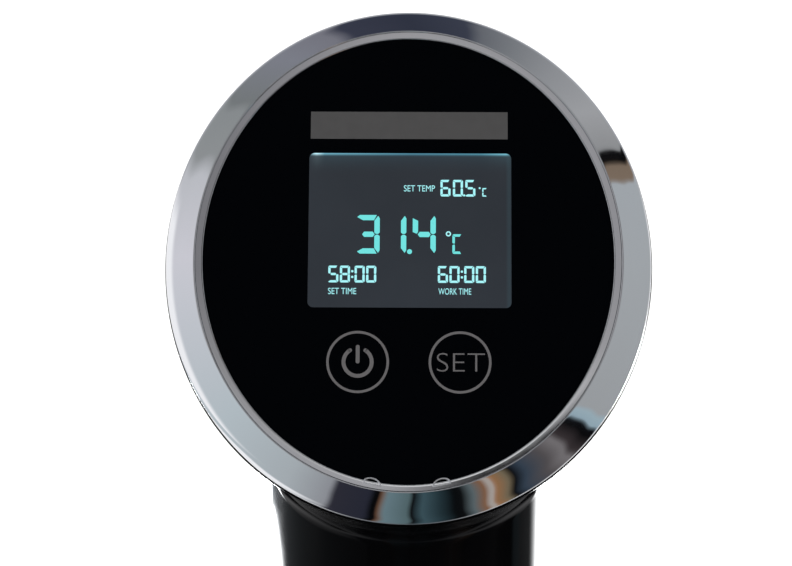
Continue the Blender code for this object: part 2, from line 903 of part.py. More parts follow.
def electronics():
    board_y = -4 * MM
    plate(
        "power_board",
        rounded_rectangle(42 * MM, 62 * MM, 2 * MM, (0, 270 * MM)),
        board_y - 1.6 * MM,
        board_y,
        "board_green",
        axis="Y",
    )
    box("transformer", (-17 * MM, board_y + GAP, 244 * MM), (1 * MM, 9 * MM, 262 * MM), "black_satin")
    box("relay", (5 * MM, board_y + GAP, 244 * MM), (17 * MM, 9 * MM, 260 * MM), "white_plastic")
    cylinder(
        "filter_capacitor",
        5.5 * MM,
        board_y + GAP,
        14 * MM,
        "aluminium",
        steps=24,
        axis="Y",
        at=(-10 * MM, 0, 272 * MM),
    )
    fins = [(-16 * MM, -6.2 * MM)]
    for i in range(6):
        x = (-16 + 5.6 * i) * MM
        fins += [(x, -16 * MM), (x + 1.6 * MM, -16 * MM), (x + 1.6 * MM, -8.4 * MM)]
        fins.append((x + 5.6 * MM, -8.4 * MM))
    fins = fins[:-1]
    fins[-1] = (fins[-1][0], -6.2 * MM)
    plate("heatsink", fins, 250 * MM, 284 * MM, "aluminium")
    chassis = box(
        "inner_chassis", (-16 * MM, 18.2 * MM, 240 * MM), (16 * MM, 20.0 * MM, 319 * MM), "black_satin"
    )
    for side in (-1, 1):
        leg = sorted((side * 12 * MM, side * 16 * MM))
        add(
            chassis,
            box(f"leg_{side}", (leg[0], 18.2 * MM, 180.3 * MM), (leg[1], 20.0 * MM, 241 * MM)),
            box(f"foot_{side}", (leg[0], 15.2 * MM, 180.3 * MM), (leg[1], 19.0 * MM, 182.3 * MM)),
        )
        where = (side * COVER_SCREWS_X, 0, COVER_SCREWS_Z)
        hole = cylinder(f"chassis_hole_{side}", 1.9 * MM, 10 * MM, 24 * MM, axis="Y", at=where, steps=16)
        cut(chassis, hole)
    up, out = face_axes()
    start = FACE_CENTRE - out * 13.5 * MM + up * 2 * MM
    knots = [
        start,
        start - out * 8 * MM,
        (0, 4 * MM, 318 * MM),
        (4 * MM, 2 * MM, 306 * MM),
        (4 * MM, -0.5 * MM, 296 * MM),
    ]
    wire("display_harness", smooth_path(knots), 1.6 * MM, "rubber", resolution=1)


# ---------------------------------------------------------------- wet end
TWIST = 25.0  # degrees that the bottom cap turns to unlock
LUGS = (90, 210, 330)  # degrees round the axis
LUG_HALF = 3.2  # degrees


def arc_block(name, inner, outer, first, last, low, high, steps=8):
    """A block bent round the axis between two angles, in degrees."""
    outline = [polar(inner, first + (last - first) * i / steps) for i in range(steps + 1)]
    outline += [polar(outer, last + (first - last) * i / steps) for i in range(steps + 1)]
    return plate(name, [p[:2] for p in outline], low, high)


def sleeve():
    body = tube(
        "sleeve", SLEEVE_R - SLEEVE_WALL, SLEEVE_R, SLEEVE_BOTTOM, SLEEVE_TOP, "stainless", steps=36
    )
    for i in range(12):
        degrees = 360 * i / 12 + 15
        turn = Matrix.Rotation(math.radians(degrees), 4, "Z")
        slot = box(
            f"intake_{i}",
            (20 * MM, -1.6 * MM, 56 * MM),
            (35 * MM, 1.6 * MM, 96 * MM),
            round_axis=0,
            radius=1.5 * MM,
            turn=turn,
        )
        cut(body, slot)
    half = 4.2  # degrees to either side of a lug's middle
    for i, degrees in enumerate(LUGS):
        first, last = degrees - half, degrees + TWIST + half
        cut(
            body,
            arc_block(f"lock_{i}", 26 * MM, 30 * MM, first, last, 24.6 * MM, 29.4 * MM),
            arc_block(f"entry_{i}", 26 * MM, 30 * MM, last - 2 * half, last, 10 * MM, 27 * MM),
        )


def bottom_cap():
    cap = turned(
        "bottom_cap",
        [
            (0, 0),
            (28.6 * MM, 0),
            (30.0 * MM, 1.4 * MM),
            (30.0 * MM, 19.0 * MM),
            (29.0 * MM, 20.0 * MM),
            (27.3 * MM, 20.0 * MM),
            (27.3 * MM, 34.0 * MM),
            (25.4 * MM, 34.0 * MM),
            (25.4 * MM, 2.6 * MM),
            (0, 2.6 * MM),
        ],
        "black_satin",
        steps=36,
    )
    for i, degrees in enumerate(LUGS):
        first, last = degrees - LUG_HALF, degrees + LUG_HALF
        add(cap, arc_block(f"lug_{i}", 26.5 * MM, 28.2 * MM, first, last, 25.4 * MM, 28.6 * MM, 3))
    for i in range(8):
        turn = Matrix.Rotation(math.radians(45 * i + 22.5), 4, "Z")
        window = box(
            f"outlet_{i}",
            (20 * MM, -4.5 * MM, 5 * MM),
            (35 * MM, 4.5 * MM, 15.5 * MM),
            round_axis=0,
            radius=1.5 * MM,
            turn=turn,
        )
        floor_slot = box(
            f"floor_slot_{i}", (11 * MM, -1.4 * MM, -2 * MM), (23.5 * MM, 1.4 * MM, 4 * MM), turn=turn
        )
        cut(cap, window, floor_slot)


# ---------------------------------------------------------------- clip
def clip_bracket():
    """Screwed to the seat; its underside is the stop for the pot's rim."""
    base = box(
        "clip_bracket",
        (-10 * MM, SEAT_Y + GAP, RIM_STOP_Z),
        (10 * MM, SEAT_Y + 3.0 * MM, 253 * MM),
        "black_satin",
    )
    add(
        base,
        box(
            "rim_shelf",
            (-10 * MM, SEAT_Y + 2 * MM, RIM_STOP_Z),
            (10 * MM, 45 * MM, RIM_STOP_Z + 3 * MM),
        ),
    )
    ear = [(SEAT_Y + 1.5 * MM, RIM_STOP_Z + 1 * MM), (44.6 * MM, RIM_STOP_Z + 1 * MM), (48 * MM, 236 * MM)]
    for i in range(7):
        a = math.radians(-20 + 110 * i / 6)
        ear.append((CLIP_PIN.y + 5 * MM * math.cos(a), CLIP_PIN.z + 5 * MM * math.sin(a)))
    ear.append((SEAT_Y + 1.5 * MM, 252 * MM))
    for side in (-1, 1):
        x = side * 8.4 * MM
        add(base, plate(f"bracket_ear_{side}", ear, x - 1.55 * MM, x + 1.55 * MM, axis="X"))
    cut(
        base,
        cylinder("bracket_bore", PIN_R + GAP, -20 * MM, 20 * MM, axis="X", at=CLIP_PIN, steps=24),
    )
    for number, z in enumerate(BRACKET_SCREWS_Z, 1):
        hole = cylinder(
            f"bracket_hole_{number}", 1.8 * MM, 20 * MM, 50 * MM, axis="Y", at=(0, 0, z), steps=16
        )
        cut(base, hole)
        turned(
            f"bracket_screw_{number}",
            [
                (0, 24.0 * MM),
                (1.4 * MM, 24.0 * MM),
                (1.4 * MM, SEAT_Y + 3.0 * MM + GAP),
                (2.7 * MM, SEAT_Y + 3.0 * MM + GAP),
                (2.4 * MM, SEAT_Y + 4.8 * MM),
                (0, SEAT_Y + 5.0 * MM),
            ],
            "steel",
            steps=16,
            axis="Y",
            at=(0, 0, z),
        )


def thick_line(points, thickness):
    """The outline of a bent strip: its middle line pushed out to both sides."""
    middle = [Vector(p) for p in points]
    left, right = [], []
    for i, p in enumerate(middle):
        before, after = middle[max(i - 1, 0)], middle[min(i + 1, len(middle) - 1)]
        along = (after - before).normalized()
        side = Vector((-along.y, along.x)) * (thickness / 2)
        left.append(p + side)
        right.append(p - side)
    return left + right[::-1]


def lever_line():
    """The lever seen from the side, (y, z): thumb end, over the pivot, round the throat, jaw."""
    knots = [
        (53.5, 284.0),
        (52.6, 276.0),
        (50.4, 262.0),
        (49.6, 250.0),
        (51.8, 238.0),
        (54.0, 228.0),
        (53.0, 217.0),
        (48.0, 209.5),
        (42.4, 205.0),
        (40.2, 198.0),
        (40.1, 190.0),
        (40.6, 184.5),
    ]
    path = smooth_path([(y * MM, z * MM, 0) for y, z in knots], 2)
    return [(p.x, p.y) for p in path]


def clip_lever():
    lever = plate(
        "clip_lever",
        thick_line(lever_line(), LEVER_THICK),
        -CLIP_HALF,
        CLIP_HALF,
        "black_satin",
        axis="X",
    )
    cheek = [(50.5, 254.0), (44.5, 247.2)]
    for i in range(7):
        a = math.radians(110 + 150 * i / 6)
        cheek.append((43.0 + 4.6 * math.cos(a), 241.0 + 4.6 * math.sin(a)))
    cheek += [(52.5, 232.0)]
    cheek = [(y * MM, z * MM) for y, z in cheek]
    for side in (-1, 1):
        x = side * 11.65 * MM
        add(lever, plate(f"lever_cheek_{side}", cheek, x - 1.35 * MM, x + 1.35 * MM, axis="X"))
    cut(
        lever,
        cylinder("lever_bore", PIN_R + GAP, -30 * MM, 30 * MM, axis="X", at=CLIP_PIN, steps=24),
    )


def clip_small_parts():
    turned(
        "clip_pin",
        [
            (0, -14.6 * MM),
            (2.4 * MM, -14.6 * MM),
            (2.6 * MM, -13.4 * MM),
            (PIN_R, -13.3 * MM),
            (PIN_R, 13.4 * MM),
            (1.1 * MM, 14.2 * MM),
            (0, 14.2 * MM),
        ],
        "steel",
        steps=24,
        axis="X",
        at=CLIP_PIN,
    )
    coil_r, turns = 2.9 * MM, 4
    path = [
        CLIP_PIN + Vector((-4.2 * MM, -5.6 * MM, 9.0 * MM)),
        CLIP_PIN + Vector((-4.2 * MM, -4.4 * MM, 5.0 * MM)),
    ]
    count = turns * 8
    for i in range(count + 1):
        a = math.pi - 2 * math.pi * turns * i / count
        path.append(
            CLIP_PIN
            + Vector((-4.2 * MM + 8.4 * MM * i / count, coil_r * math.cos(a), coil_r * math.sin(a)))
        )
    path += [
        CLIP_PIN + Vector((4.2 * MM, 0.6 * MM, 6.0 * MM)),
        CLIP_PIN + Vector((4.2 * MM, 4.0 * MM, 11.0 * MM)),
    ]
    wire("clip_spring", path, 0.55 * MM, "steel", resolution=1)
    ribs = ribbed_pad(SEAT_Y + GAP, 34.9 * MM)
    plate("wall_pad", ribs, -11 * MM, 11 * MM, "rubber", axis="X")
    jaw = [(37.2, 187.0), (37.2, 203.0), (38.4, 204.0), (38.4, 186.0)]
    plate("jaw_pad", [(y * MM, z * MM) for y, z in jaw], -11 * MM, 11 * MM, "rubber", axis="X")


def ribbed_pad(back, front):
    """The fixed pad's side outline: flat lands with shallow grooves between them."""
    outline = [(back, 186 * MM), (front, 186 * MM)]
    for i in range(4):
        z = (190.5 + 4 * i) * MM
        outline += [
            (front, z),
            (front - 0.8 * MM, z + 0.4 * MM),
            (front - 0.8 * MM, z + 1.0 * MM),
            (front, z + 1.4 * MM),
        ]
    return outline + [(front, 208 * MM), (back, 208 * MM)]


def main():
    clear_scene()
    frame = face_frame()
    housing()
    rear_cover()
    cover_screws()
    cord_gland()
    head_front(frame)
    head_inside(frame)
    collar_and_flange()
    heater_coil()
    probes()
    motor()
    turning_parts()
    shaft_support()
    electronics()
    sleeve()
    bottom_cap()
    clip_bracket()
    clip_lever()
    clip_small_parts()


main()
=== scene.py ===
"""Looks of the sous vide circulator: fine surfaces, materials, display, light and camera.

Everything is in metres in the frame of the CAD model: +Z up the stick, the display faces -Y and up.
"""

import json
import math

import bmesh
import bpy
from mathutils import Matrix, Quaternion, Vector


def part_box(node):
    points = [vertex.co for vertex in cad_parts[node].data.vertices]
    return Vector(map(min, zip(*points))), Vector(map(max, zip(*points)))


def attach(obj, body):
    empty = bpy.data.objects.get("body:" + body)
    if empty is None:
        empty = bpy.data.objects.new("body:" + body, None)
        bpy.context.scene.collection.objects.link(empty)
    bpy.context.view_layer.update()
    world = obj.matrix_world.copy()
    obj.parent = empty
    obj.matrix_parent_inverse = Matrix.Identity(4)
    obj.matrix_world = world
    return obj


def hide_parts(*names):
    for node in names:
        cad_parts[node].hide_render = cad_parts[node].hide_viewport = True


MM = 0.001
GAP = 0.3 * MM

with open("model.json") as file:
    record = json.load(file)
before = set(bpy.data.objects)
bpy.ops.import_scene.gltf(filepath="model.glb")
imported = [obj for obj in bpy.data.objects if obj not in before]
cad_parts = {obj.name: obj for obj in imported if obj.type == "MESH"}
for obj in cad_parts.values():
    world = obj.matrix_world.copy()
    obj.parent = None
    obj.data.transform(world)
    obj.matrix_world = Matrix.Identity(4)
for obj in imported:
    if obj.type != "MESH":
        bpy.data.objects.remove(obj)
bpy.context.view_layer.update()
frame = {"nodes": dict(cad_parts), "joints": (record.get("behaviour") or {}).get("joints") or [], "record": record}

# ------------------------ sizes read off the frame
BODY_OF = {n: b for b, ns in frame["record"]["behaviour"]["bodies"].items() for n in ns}
SLOT_OF = {s["node"]: s["material_slot"] for s in frame["record"]["subparts"]}


def box_of(node):
    low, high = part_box(node)
    return low, high, (low + high) / 2


FACE_TILT = math.radians(45)
UP = Vector((0, math.cos(FACE_TILT), math.sin(FACE_TILT)))  # up the face
OUT = Vector((0, -math.sin(FACE_TILT), math.cos(FACE_TILT)))  # out of the face
LENS_THICK = 2.0 * MM
LENS_HIDDEN = 0.95 * MM  # how far the glass reaches under its trim
FACE = box_of("front_lens")[2] + OUT * (LENS_THICK / 2)  # middle of the glass's surface
LENS_X = box_of("front_lens")[1].x - LENS_HIDDEN
RING_Y_SHARE = 0.925
LENS_Y = 45.1 * MM
RING_OUT = box_of("bezel_ring")[1].x - LENS_X  # how far the chrome ring reaches past the glass
RIM_DEPTH = 7.1 * MM
WALL = 2.5 * MM

NECK_BASE = box_of("main_housing")[0].z
NECK_R = 30.0 * MM
HORN_BASE = 283.0 * MM
COVER_X = box_of("rear_cover")[1].x + GAP
COVER_LOW, COVER_TOP = 180.0 * MM, box_of("rear_cover")[1].z + GAP
SLEEVE_LOW, SLEEVE_HIGH, _ = box_of("sleeve")
SLEEVE_R = SLEEVE_HIGH.x
CLIP_PIN = Vector(next(j["pos_m"] for j in frame["joints"] if j["name"] == "clip_pivot"))
CLIP_HALF = box_of("clip_lever")[1].x

LCD_X, LCD_Y = 40.4 * MM, 31.4 * MM  # the part of the display that shows
LCD_AT = Vector((0.3 * MM, 5.75 * MM))
KEY_R, KEY_STROKE = 5.95 * MM, 0.5 * MM
KEYS = {"power": Vector((-9.85 * MM, -20.85 * MM)), "set": Vector((10.35 * MM, -20.85 * MM))}


# ------------------------ materials
class Shading:
    """The node tree of a material or a world."""

    def __init__(self, owner):
        owner.use_nodes = True
        self.nodes, self.links = owner.node_tree.nodes, owner.node_tree.links

    def feed(self, sockets, values):
        """Sets each socket to its value, or links it to the output given in its place."""
        for socket, value in zip(sockets, values):
            if isinstance(value, (int, float)):
                socket.default_value = value
            elif isinstance(value, tuple):
                alpha = (1,) if len(socket.default_value) == 4 else ()
                socket.default_value = (*value, *alpha)
            else:
                self.links.new(value, socket)

    def node(self, kind, **inputs):
        """A new node. In the names of its inputs an underscore stands for a space."""
        made = self.nodes.new(f"ShaderNode{kind}")
        self.feed([made.inputs[name.replace("_", " ")] for name in inputs], inputs.values())
        return made

    def math(self, operation, a, b=0.0):
        node = self.nodes.new("ShaderNodeMath")
        node.operation = operation
        self.feed(node.inputs, (a, b))
        return node.outputs[0]

    def mix(self, factor, a, b, blend="MIX"):
        node = self.nodes.new("ShaderNodeMix")
        node.data_type = "RGBA"
        node.blend_type = blend
        self.feed([node.inputs[name] for name in ("Factor", "A", "B")], (factor, a, b))
        return node.outputs["Result"]

    def ramp(self, value, stops):
        node = self.nodes.new("ShaderNodeValToRGB")
        elements = node.color_ramp.elements
        while len(elements) < len(stops):
            elements.new(0.5)
        for element, (place, colour) in zip(elements, stops):
            element.position = place
            element.color = (*colour, 1)
        self.links.new(value, node.inputs["Fac"])
        return node.outputs["Color"]


class Look(Shading):
    """A Principled material with helpers that hang procedural detail on it."""

    made = {}

    def __init__(self, name, colour, roughness, metallic=0.0, ior=1.45):
        material = bpy.data.materials.new(name)
        super().__init__(material)
        self.shader = self.nodes["Principled BSDF"]
        self.set("Base Color", colour).set("Roughness", roughness)
        self.set("Metallic", metallic).set("IOR", ior)
        self.colour = colour
        Look.made[name] = material

    def set(self, name, value):
        self.feed([self.shader.inputs[name]], [value])
        return self

    def noise(self, scale, stretch=(1, 1, 1), detail=3.0):
        coords = self.node("TexCoord").outputs["Object"]
        vector = self.node("Mapping", Vector=coords, Scale=stretch).outputs["Vector"]
        return self.node("TexNoise", Vector=vector, Scale=scale, Detail=detail).outputs["Fac"]

    def spread(self, value, low, high, start=0.3, end=0.7):
        """Maps start..end to low..high. A number stands for plain noise of that scale."""
        value = self.noise(value) if isinstance(value, int) else value
        reach = dict(From_Min=start, From_Max=end, To_Min=low, To_Max=high)
        return self.node("MapRange", Value=value, **reach).outputs["Result"]

    def roughness(self, value, low, high):
        return self.set("Roughness", self.spread(value, low, high))

    def tint(self, value, dark, light):
        """The base colour varies between two shades of itself."""
        low = tuple(c * dark for c in self.colour)
        high = tuple(min(1, c * light) for c in self.colour)
        return self.set("Base Color", self.mix(self.spread(value, 0, 1), low, high))

    def bump(self, value, depth, strength=1.0):
        node = self.node("Bump", Distance=depth, Strength=strength, Height=value)
        return self.set("Normal", node.outputs["Normal"])

    def glow(self, colour):
        return self.set("Emission Color", colour).set("Emission Strength", 1.0)


def plastics():
    gloss = Look("black_gloss", (0.0011, 0.0011, 0.0013), 0.07, ior=1.31)
    gloss.set("Specular IOR Level", 0.04).roughness(90, 0.05, 0.10).tint(30, 0.8, 1.25)
    gloss.bump(gloss.noise(700, detail=1), 0.004 * MM, 0.25)

    satin = Look("black_satin", (0.011, 0.011, 0.012), 0.42)
    satin.roughness(160, 0.36, 0.5).tint(60, 0.8, 1.3)
    satin.bump(satin.noise(5200, detail=2), 0.03 * MM, 0.35)

    rubber = Look("rubber", (0.014, 0.014, 0.014), 0.72)
    rubber.roughness(300, 0.62, 0.82).tint(120, 0.75, 1.4)
    rubber.bump(rubber.noise(3600, detail=4), 0.05 * MM, 0.4)

    white = Look("white_plastic", (0.78, 0.77, 0.73), 0.42)
    white.roughness(200, 0.36, 0.5).tint(40, 0.93, 1.04)

    board = Look("board_green", (0.012, 0.085, 0.035), 0.35)
    board.set("Coat Weight", 0.4).set("Coat Roughness", 0.1)
    board.tint(board.noise(900, (1, 0.05, 1), 0), 0.65, 1.25)
    board.bump(board.noise(900, (0.05, 1, 1), 0), 0.02 * MM, 0.5)


def metals():
    chrome = Look("chrome", (0.87, 0.88, 0.89), 0.035, 1.0).roughness(120, 0.025, 0.055)
    chrome.bump(chrome.noise(420, detail=1), 0.003 * MM, 0.03)
    lip = Look("satin_metal", (0.93, 0.93, 0.94), 0.12, 1.0).roughness(260, 0.09, 0.14)
    lip.bump(lip.noise(2600), 0.003 * MM, 0.2)
    Look("edge_metal", (0.84, 0.85, 0.86), 0.17, 1.0).roughness(300, 0.14, 0.2)
    Look("tab_metal", (0.95, 0.95, 0.96), 0.35, 1.0).roughness(900, 0.3, 0.4)

    steel = Look("stainless", (0.62, 0.62, 0.61), 0.28, 1.0)
    brushed = steel.noise(60, (1, 1, 110), 5)
    steel.roughness(brushed, 0.2, 0.36).bump(brushed, 0.006 * MM, 0.2).tint(14, 0.94, 1.05)
    Look("steel", (0.5, 0.5, 0.51), 0.32, 1.0).roughness(240, 0.26, 0.42).tint(50, 0.85, 1.1)
    screw = Look("screw_steel", (0.56, 0.56, 0.58), 0.26, 1.0).roughness(900, 0.2, 0.36)
    screw.bump(screw.noise(2400), 0.01 * MM, 0.3)

    iron = Look("laminations", (0.2, 0.2, 0.22), 0.5, 0.9)
    sheets = iron.noise(70, (0.2, 0.2, 30), 0)
    iron.bump(sheets, 0.06 * MM, 0.6).tint(sheets, 0.6, 1.2)
    alu = Look("aluminium", (0.74, 0.75, 0.76), 0.36, 1.0).roughness(420, 0.3, 0.44)
    alu.bump(alu.noise(1500), 0.01 * MM, 0.3)


def display_looks():
    Look("lens_black", (0.0006, 0.0008, 0.0012), 0.02, ior=1.34).roughness(60, 0.012, 0.03)
    display_glow()
    Look("grey_ink", (0.082, 0.078, 0.080), 0.45).roughness(1500, 0.38, 0.52).tint(700, 0.94, 1.05)
    Look("bar_ink", (0.044, 0.043, 0.043), 0.4).roughness(1500, 0.34, 0.46).tint(400, 0.95, 1.05)
    digit = Look("digit_light", (0.02, 0.05, 0.05), 0.3).glow((0.135, 0.70, 0.68))
    digit.roughness(900, 0.25, 0.35)
    small = Look("small_light", (0.03, 0.05, 0.05), 0.3).glow((0.36, 0.86, 0.90))
    small.roughness(900, 0.25, 0.35)


LCD_GLOW = [  # colour of the backlight's leak, from the left of the display to its right
    (0.0, (0.05, 0.18, 0.24)), (0.035, (0.55, 0.90, 1.0)), (0.075, (0.12, 0.36, 0.46)),
    (0.5, (0.045, 0.19, 0.27)), (0.85, (0.05, 0.22, 0.30)), (0.975, (0.15, 0.45, 0.55)),
    (1.0, (0.04, 0.16, 0.2)),
]


def display_glow():
    """Slate grey, with the backlight leaking in along the top edge and a little on the right."""
    look = Look("lcd", (0.021, 0.025, 0.031), 0.2, ior=1.3)
    look.roughness(200, 0.16, 0.24).tint(22, 0.9, 1.1)
    coords = look.node("TexCoord").outputs["Object"]
    split = look.node("SeparateXYZ", Vector=coords)
    x, y = split.outputs["X"], split.outputs["Y"]
    top, right = LCD_AT.y + LCD_Y / 2, LCD_AT.x + LCD_X / 2
    across = look.ramp(look.spread(x, 0, 1, LCD_AT.x - LCD_X / 2, right), LCD_GLOW)
    line = look.math("POWER", look.spread(y, 0, 1, top - 0.75 * MM, top - 0.15 * MM), 2.2)
    haze = look.math("POWER", look.spread(y, 0, 1, top - 4.5 * MM, top - 0.4 * MM), 2.0)
    haze = look.math("MULTIPLY", haze, 0.07)
    side = look.spread(x, 0, 0.05, right - 1.1 * MM, right - 0.45 * MM)
    total = look.math("ADD", line, look.math("ADD", haze, side))
    look.glow(look.mix(1.0, across, total, "MULTIPLY"))


# ------------------------ shape tools
def keep(name, bm, look, sharp=35):
    bmesh.ops.remove_doubles(bm, verts=bm.verts, dist=1e-7)
    bmesh.ops.recalc_face_normals(bm, faces=bm.faces)
    mesh = bpy.data.meshes.new(name)
    bm.to_mesh(mesh)
    bm.free()
    mesh.shade_smooth()
    mesh.set_sharp_from_angle(angle=math.radians(sharp))
    made = bpy.data.objects.new(name, mesh)
    bpy.context.scene.collection.objects.link(made)
    if look:
        mesh.materials.append(Look.made[look])
    return made


def stand_for(piece, *nodes):
    """The piece rides with its CAD nodes' body and is shown in their place."""
    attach(piece, BODY_OF[nodes[0]])
    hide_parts(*nodes)
    return piece


def detail(piece, body, slot):
    """A small piece that no CAD node stands for, such as a printed mark."""
    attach(piece, body)
    return piece


def settle(piece, sharp=35, bevel=0.0):
    """Applies the Booleans and rounds the edges that they left."""
    if bevel:
        rounding = piece.modifiers.new("rounding", "BEVEL")
        rounding.width = bevel
        rounding.segments = 3
        rounding.limit_method = "ANGLE"
        rounding.angle_limit = math.radians(40)
    graph = bpy.context.evaluated_depsgraph_get()
    mesh = bpy.data.meshes.new_from_object(piece.evaluated_get(graph))
    cutters = [m.object for m in piece.modifiers if m.type == "BOOLEAN"]
    piece.modifiers.clear()
    piece.data = mesh
    mesh.shade_smooth()
    mesh.set_sharp_from_angle(angle=math.radians(sharp))
    for cutter in cutters:
        bpy.data.objects.remove(cutter)
    return piece


def boolean(piece, other, operation):
    change = piece.modifiers.new(f"{operation.lower()}_{other.name}", "BOOLEAN")
    change.operation = operation
    change.solver = "MANIFOLD"
    change.object = other
    other.hide_render = True
    return piece


def cut(piece, *others):
    for other in others:
        boolean(piece, other, "DIFFERENCE")
    return piece


def add(piece, *others):
    for other in others:
        boolean(piece, other, "UNION")
    return piece


def turned(name, profile, look=None, steps=128, axis="Z", at=(0, 0, 0)):
    bm = bmesh.new()
    verts = [bm.verts.new((r, 0, z)) for r, z in profile]
    edges = [bm.edges.new((a, b)) for a, b in zip(verts, verts[1:] + verts[:1])]
    for edge in [e for e in edges if max(v.co.x for v in e.verts) < 1e-9]:
        bm.edges.remove(edge)
    geometry = bm.verts[:] + bm.edges[:]
    way = dict(cent=(0, 0, 0), axis=(0, 0, 1), angle=2 * math.pi, steps=steps)
    bmesh.ops.spin(bm, geom=geometry, use_merge=True, **way)
    turn = {"Z": Matrix(), "Y": Matrix.Rotation(-math.pi / 2, 4, "X")}
    turn["X"] = Matrix.Rotation(math.pi / 2, 4, "Y")
    bmesh.ops.transform(bm, matrix=Matrix.Translation(at) @ turn[axis], verts=bm.verts)
    return keep(name, bm, look)


def cylinder(name, radius, low, high, look=None, steps=48, **where):
    return turned(name, [(0, low), (radius, low), (radius, high), (0, high)], look, steps, **where)


def rounded_profile(points, radius, steps=4):
    """Rounds every corner of a closed (r, z) outline."""
    made = []
    count = len(points)
    for i, (x, z) in enumerate(points):
        here = Vector((x, z))
        before = Vector(points[i - 1]) - here
        after = Vector(points[(i + 1) % count]) - here
        if x < 1e-9 or radius <= 0:
            made.append((x, z))
            continue
        size = min(radius, before.length * 0.45, after.length * 0.45)
        a, b = here + before.normalized() * size, here + after.normalized() * size
        for k in range(steps + 1):
            t = k / steps
            p = a * (1 - t) ** 2 + here * (2 * t * (1 - t)) + b * t**2
            made.append((p.x, p.y))
    return made


def box(name, low, high, look=None, round_axis=None, radius=0.0, rounding=8, turn=None):
    bm = bmesh.new()
    bmesh.ops.create_cube(bm, size=1.0)
    low, high = Vector(low), Vector(high)
    for v in bm.verts:
        v.co = Vector([low[i] + (high[i] - low[i]) * (v.co[i] + 0.5) for i in range(3)])
    if round_axis is not None:
        lengths = {e: abs((e.verts[0].co - e.verts[1].co)[round_axis]) for e in bm.edges}
        along = [e for e in bm.edges if lengths[e] > 1e-9]
        bmesh.ops.bevel(bm, geom=along, offset=radius, segments=rounding, profile=0.5, affect="EDGES")
    if turn is not None:
        bmesh.ops.transform(bm, matrix=turn, verts=bm.verts)
    return keep(name, bm, look)


def mm(points):
    return [tuple(v * MM for v in p) for p in points]


def block(name, x, y, z, **shape):
    """A box between two values on each axis, in millimetres."""
    low, high = zip(*mm((x, y, z)))
    return box(name, low, high, **shape)


def loft(name, sections, look=None, hollow=False, sharp=35):
    bm = bmesh.new()
    rings = [[bm.verts.new(p) for p in section] for section in sections]
    pairs = list(zip(rings, rings[1:]))
    if hollow:
        pairs.append((rings[-1], rings[0]))
    else:
        bm.faces.new(reversed(rings[0]))
        bm.faces.new(rings[-1])
    count = len(rings[0])
    for a, b in pairs:
        for i in range(count):
            j = (i + 1) % count
            bm.faces.new((a[i], a[j], b[j], b[i]))
    return keep(name, bm, look, sharp)


def plate(name, outline, low, high, look=None, axis="Z"):
    turned_to = {"X": (2, 0, 1), "Y": (0, 2, 1), "Z": (0, 1, 2)}[axis]

    def place(p, h):
        return [(p[0], p[1], h)[i] for i in turned_to]

    return loft(name, [[place(p, h) for p in outline] for h in (low, high)], look)


def wire(name, points, radius, look, resolution=5):
    curve = bpy.data.curves.new(name, "CURVE")
    curve.dimensions = "3D"
    curve.bevel_depth = radius
    curve.bevel_resolution = resolution
    curve.use_fill_caps = True
    spline = curve.splines.new("POLY")
    spline.points.add(len(points) - 1)
    for target, p in zip(spline.points, points):
        target.co = (*p, 1.0)
    spline.use_smooth = True
    curve.materials.append(Look.made[look])
    made = bpy.data.objects.new(name, curve)
    bpy.context.scene.collection.objects.link(made)
    return made


def circle(radius, count, z=0.0):
    steps = [2 * math.pi * i / count for i in range(count)]
    return [(radius * math.cos(a), radius * math.sin(a), z) for a in steps]


def smooth_path(points, per_span=4):
    knots = [Vector(p) for p in points]
    knots = [2 * knots[0] - knots[1], *knots, 2 * knots[-1] - knots[-2]]
    path = []
    for a, b, c, d in zip(knots, knots[1:], knots[2:], knots[3:]):
        for i in range(per_span):
            t = i / per_span
            bend = 2 * a - 5 * b + 4 * c - d
            path.append(0.5 * (2 * b + (c - a) * t + bend * t * t + (3 * b - 3 * c + d - a) * t**3))
    path.append(knots[-2])
    return path


def eased(start, leave, end, arrive, t):
    """A point on the curve that leaves start one way and reaches end another."""
    t2, t3 = t * t, t**3
    placed = start * (2 * t3 - 3 * t2 + 1) + end * (3 * t2 - 2 * t3)
    return placed + leave * (t3 - 2 * t2 + t) + arrive * (t3 - t2)


def polar(radius, degrees, z=0.0):
    a = math.radians(degrees)
    return Vector((radius * math.cos(a), radius * math.sin(a), z))


# ------------------------ on the face
def on_face(x, y, height=0.0):
    """A point on the display's face: x across, y up, height out of the glass."""
    return FACE + Vector((x, 0, 0)) + UP * y + OUT * height


def face_ring(out, height, count=192):
    half_x, half_y = LENS_X + out, LENS_Y + out * RING_Y_SHARE
    steps = [2 * math.pi * i / count for i in range(count)]
    return [on_face(half_x * math.cos(a), half_y * math.sin(a), height) for a in steps]


def face_turned(name, profile, look, sharp=35):
    return loft(name, [face_ring(out, height) for out, height in profile], look, True, sharp)


def arc_points(centre, radius, first, last, steps):
    """Points round a centre, from one angle to another, in degrees."""
    angles = [math.radians(first + (last - first) * i / steps) for i in range(steps + 1)]
    return [(centre[0] + radius * math.cos(a), centre[1] + radius * math.sin(a)) for a in angles]


RING_IN = 1.5 * MM  # inner edge of the chrome ring, past the glass's visible edge
LIP_EDGE = 0.22 * MM  # the trim's rounded inner edge is this wide
RING_EDGE = RING_OUT - 0.2 * MM  # the housing's rim shows a little beyond the ring
RING_FLOOR, RING_BACK = -3.2 * MM, -6.75 * MM  # undersides of the ring at the glass and outside it
EDGE_START = -4.9 * MM  # below this height the ring's rounded edge has a satin finish


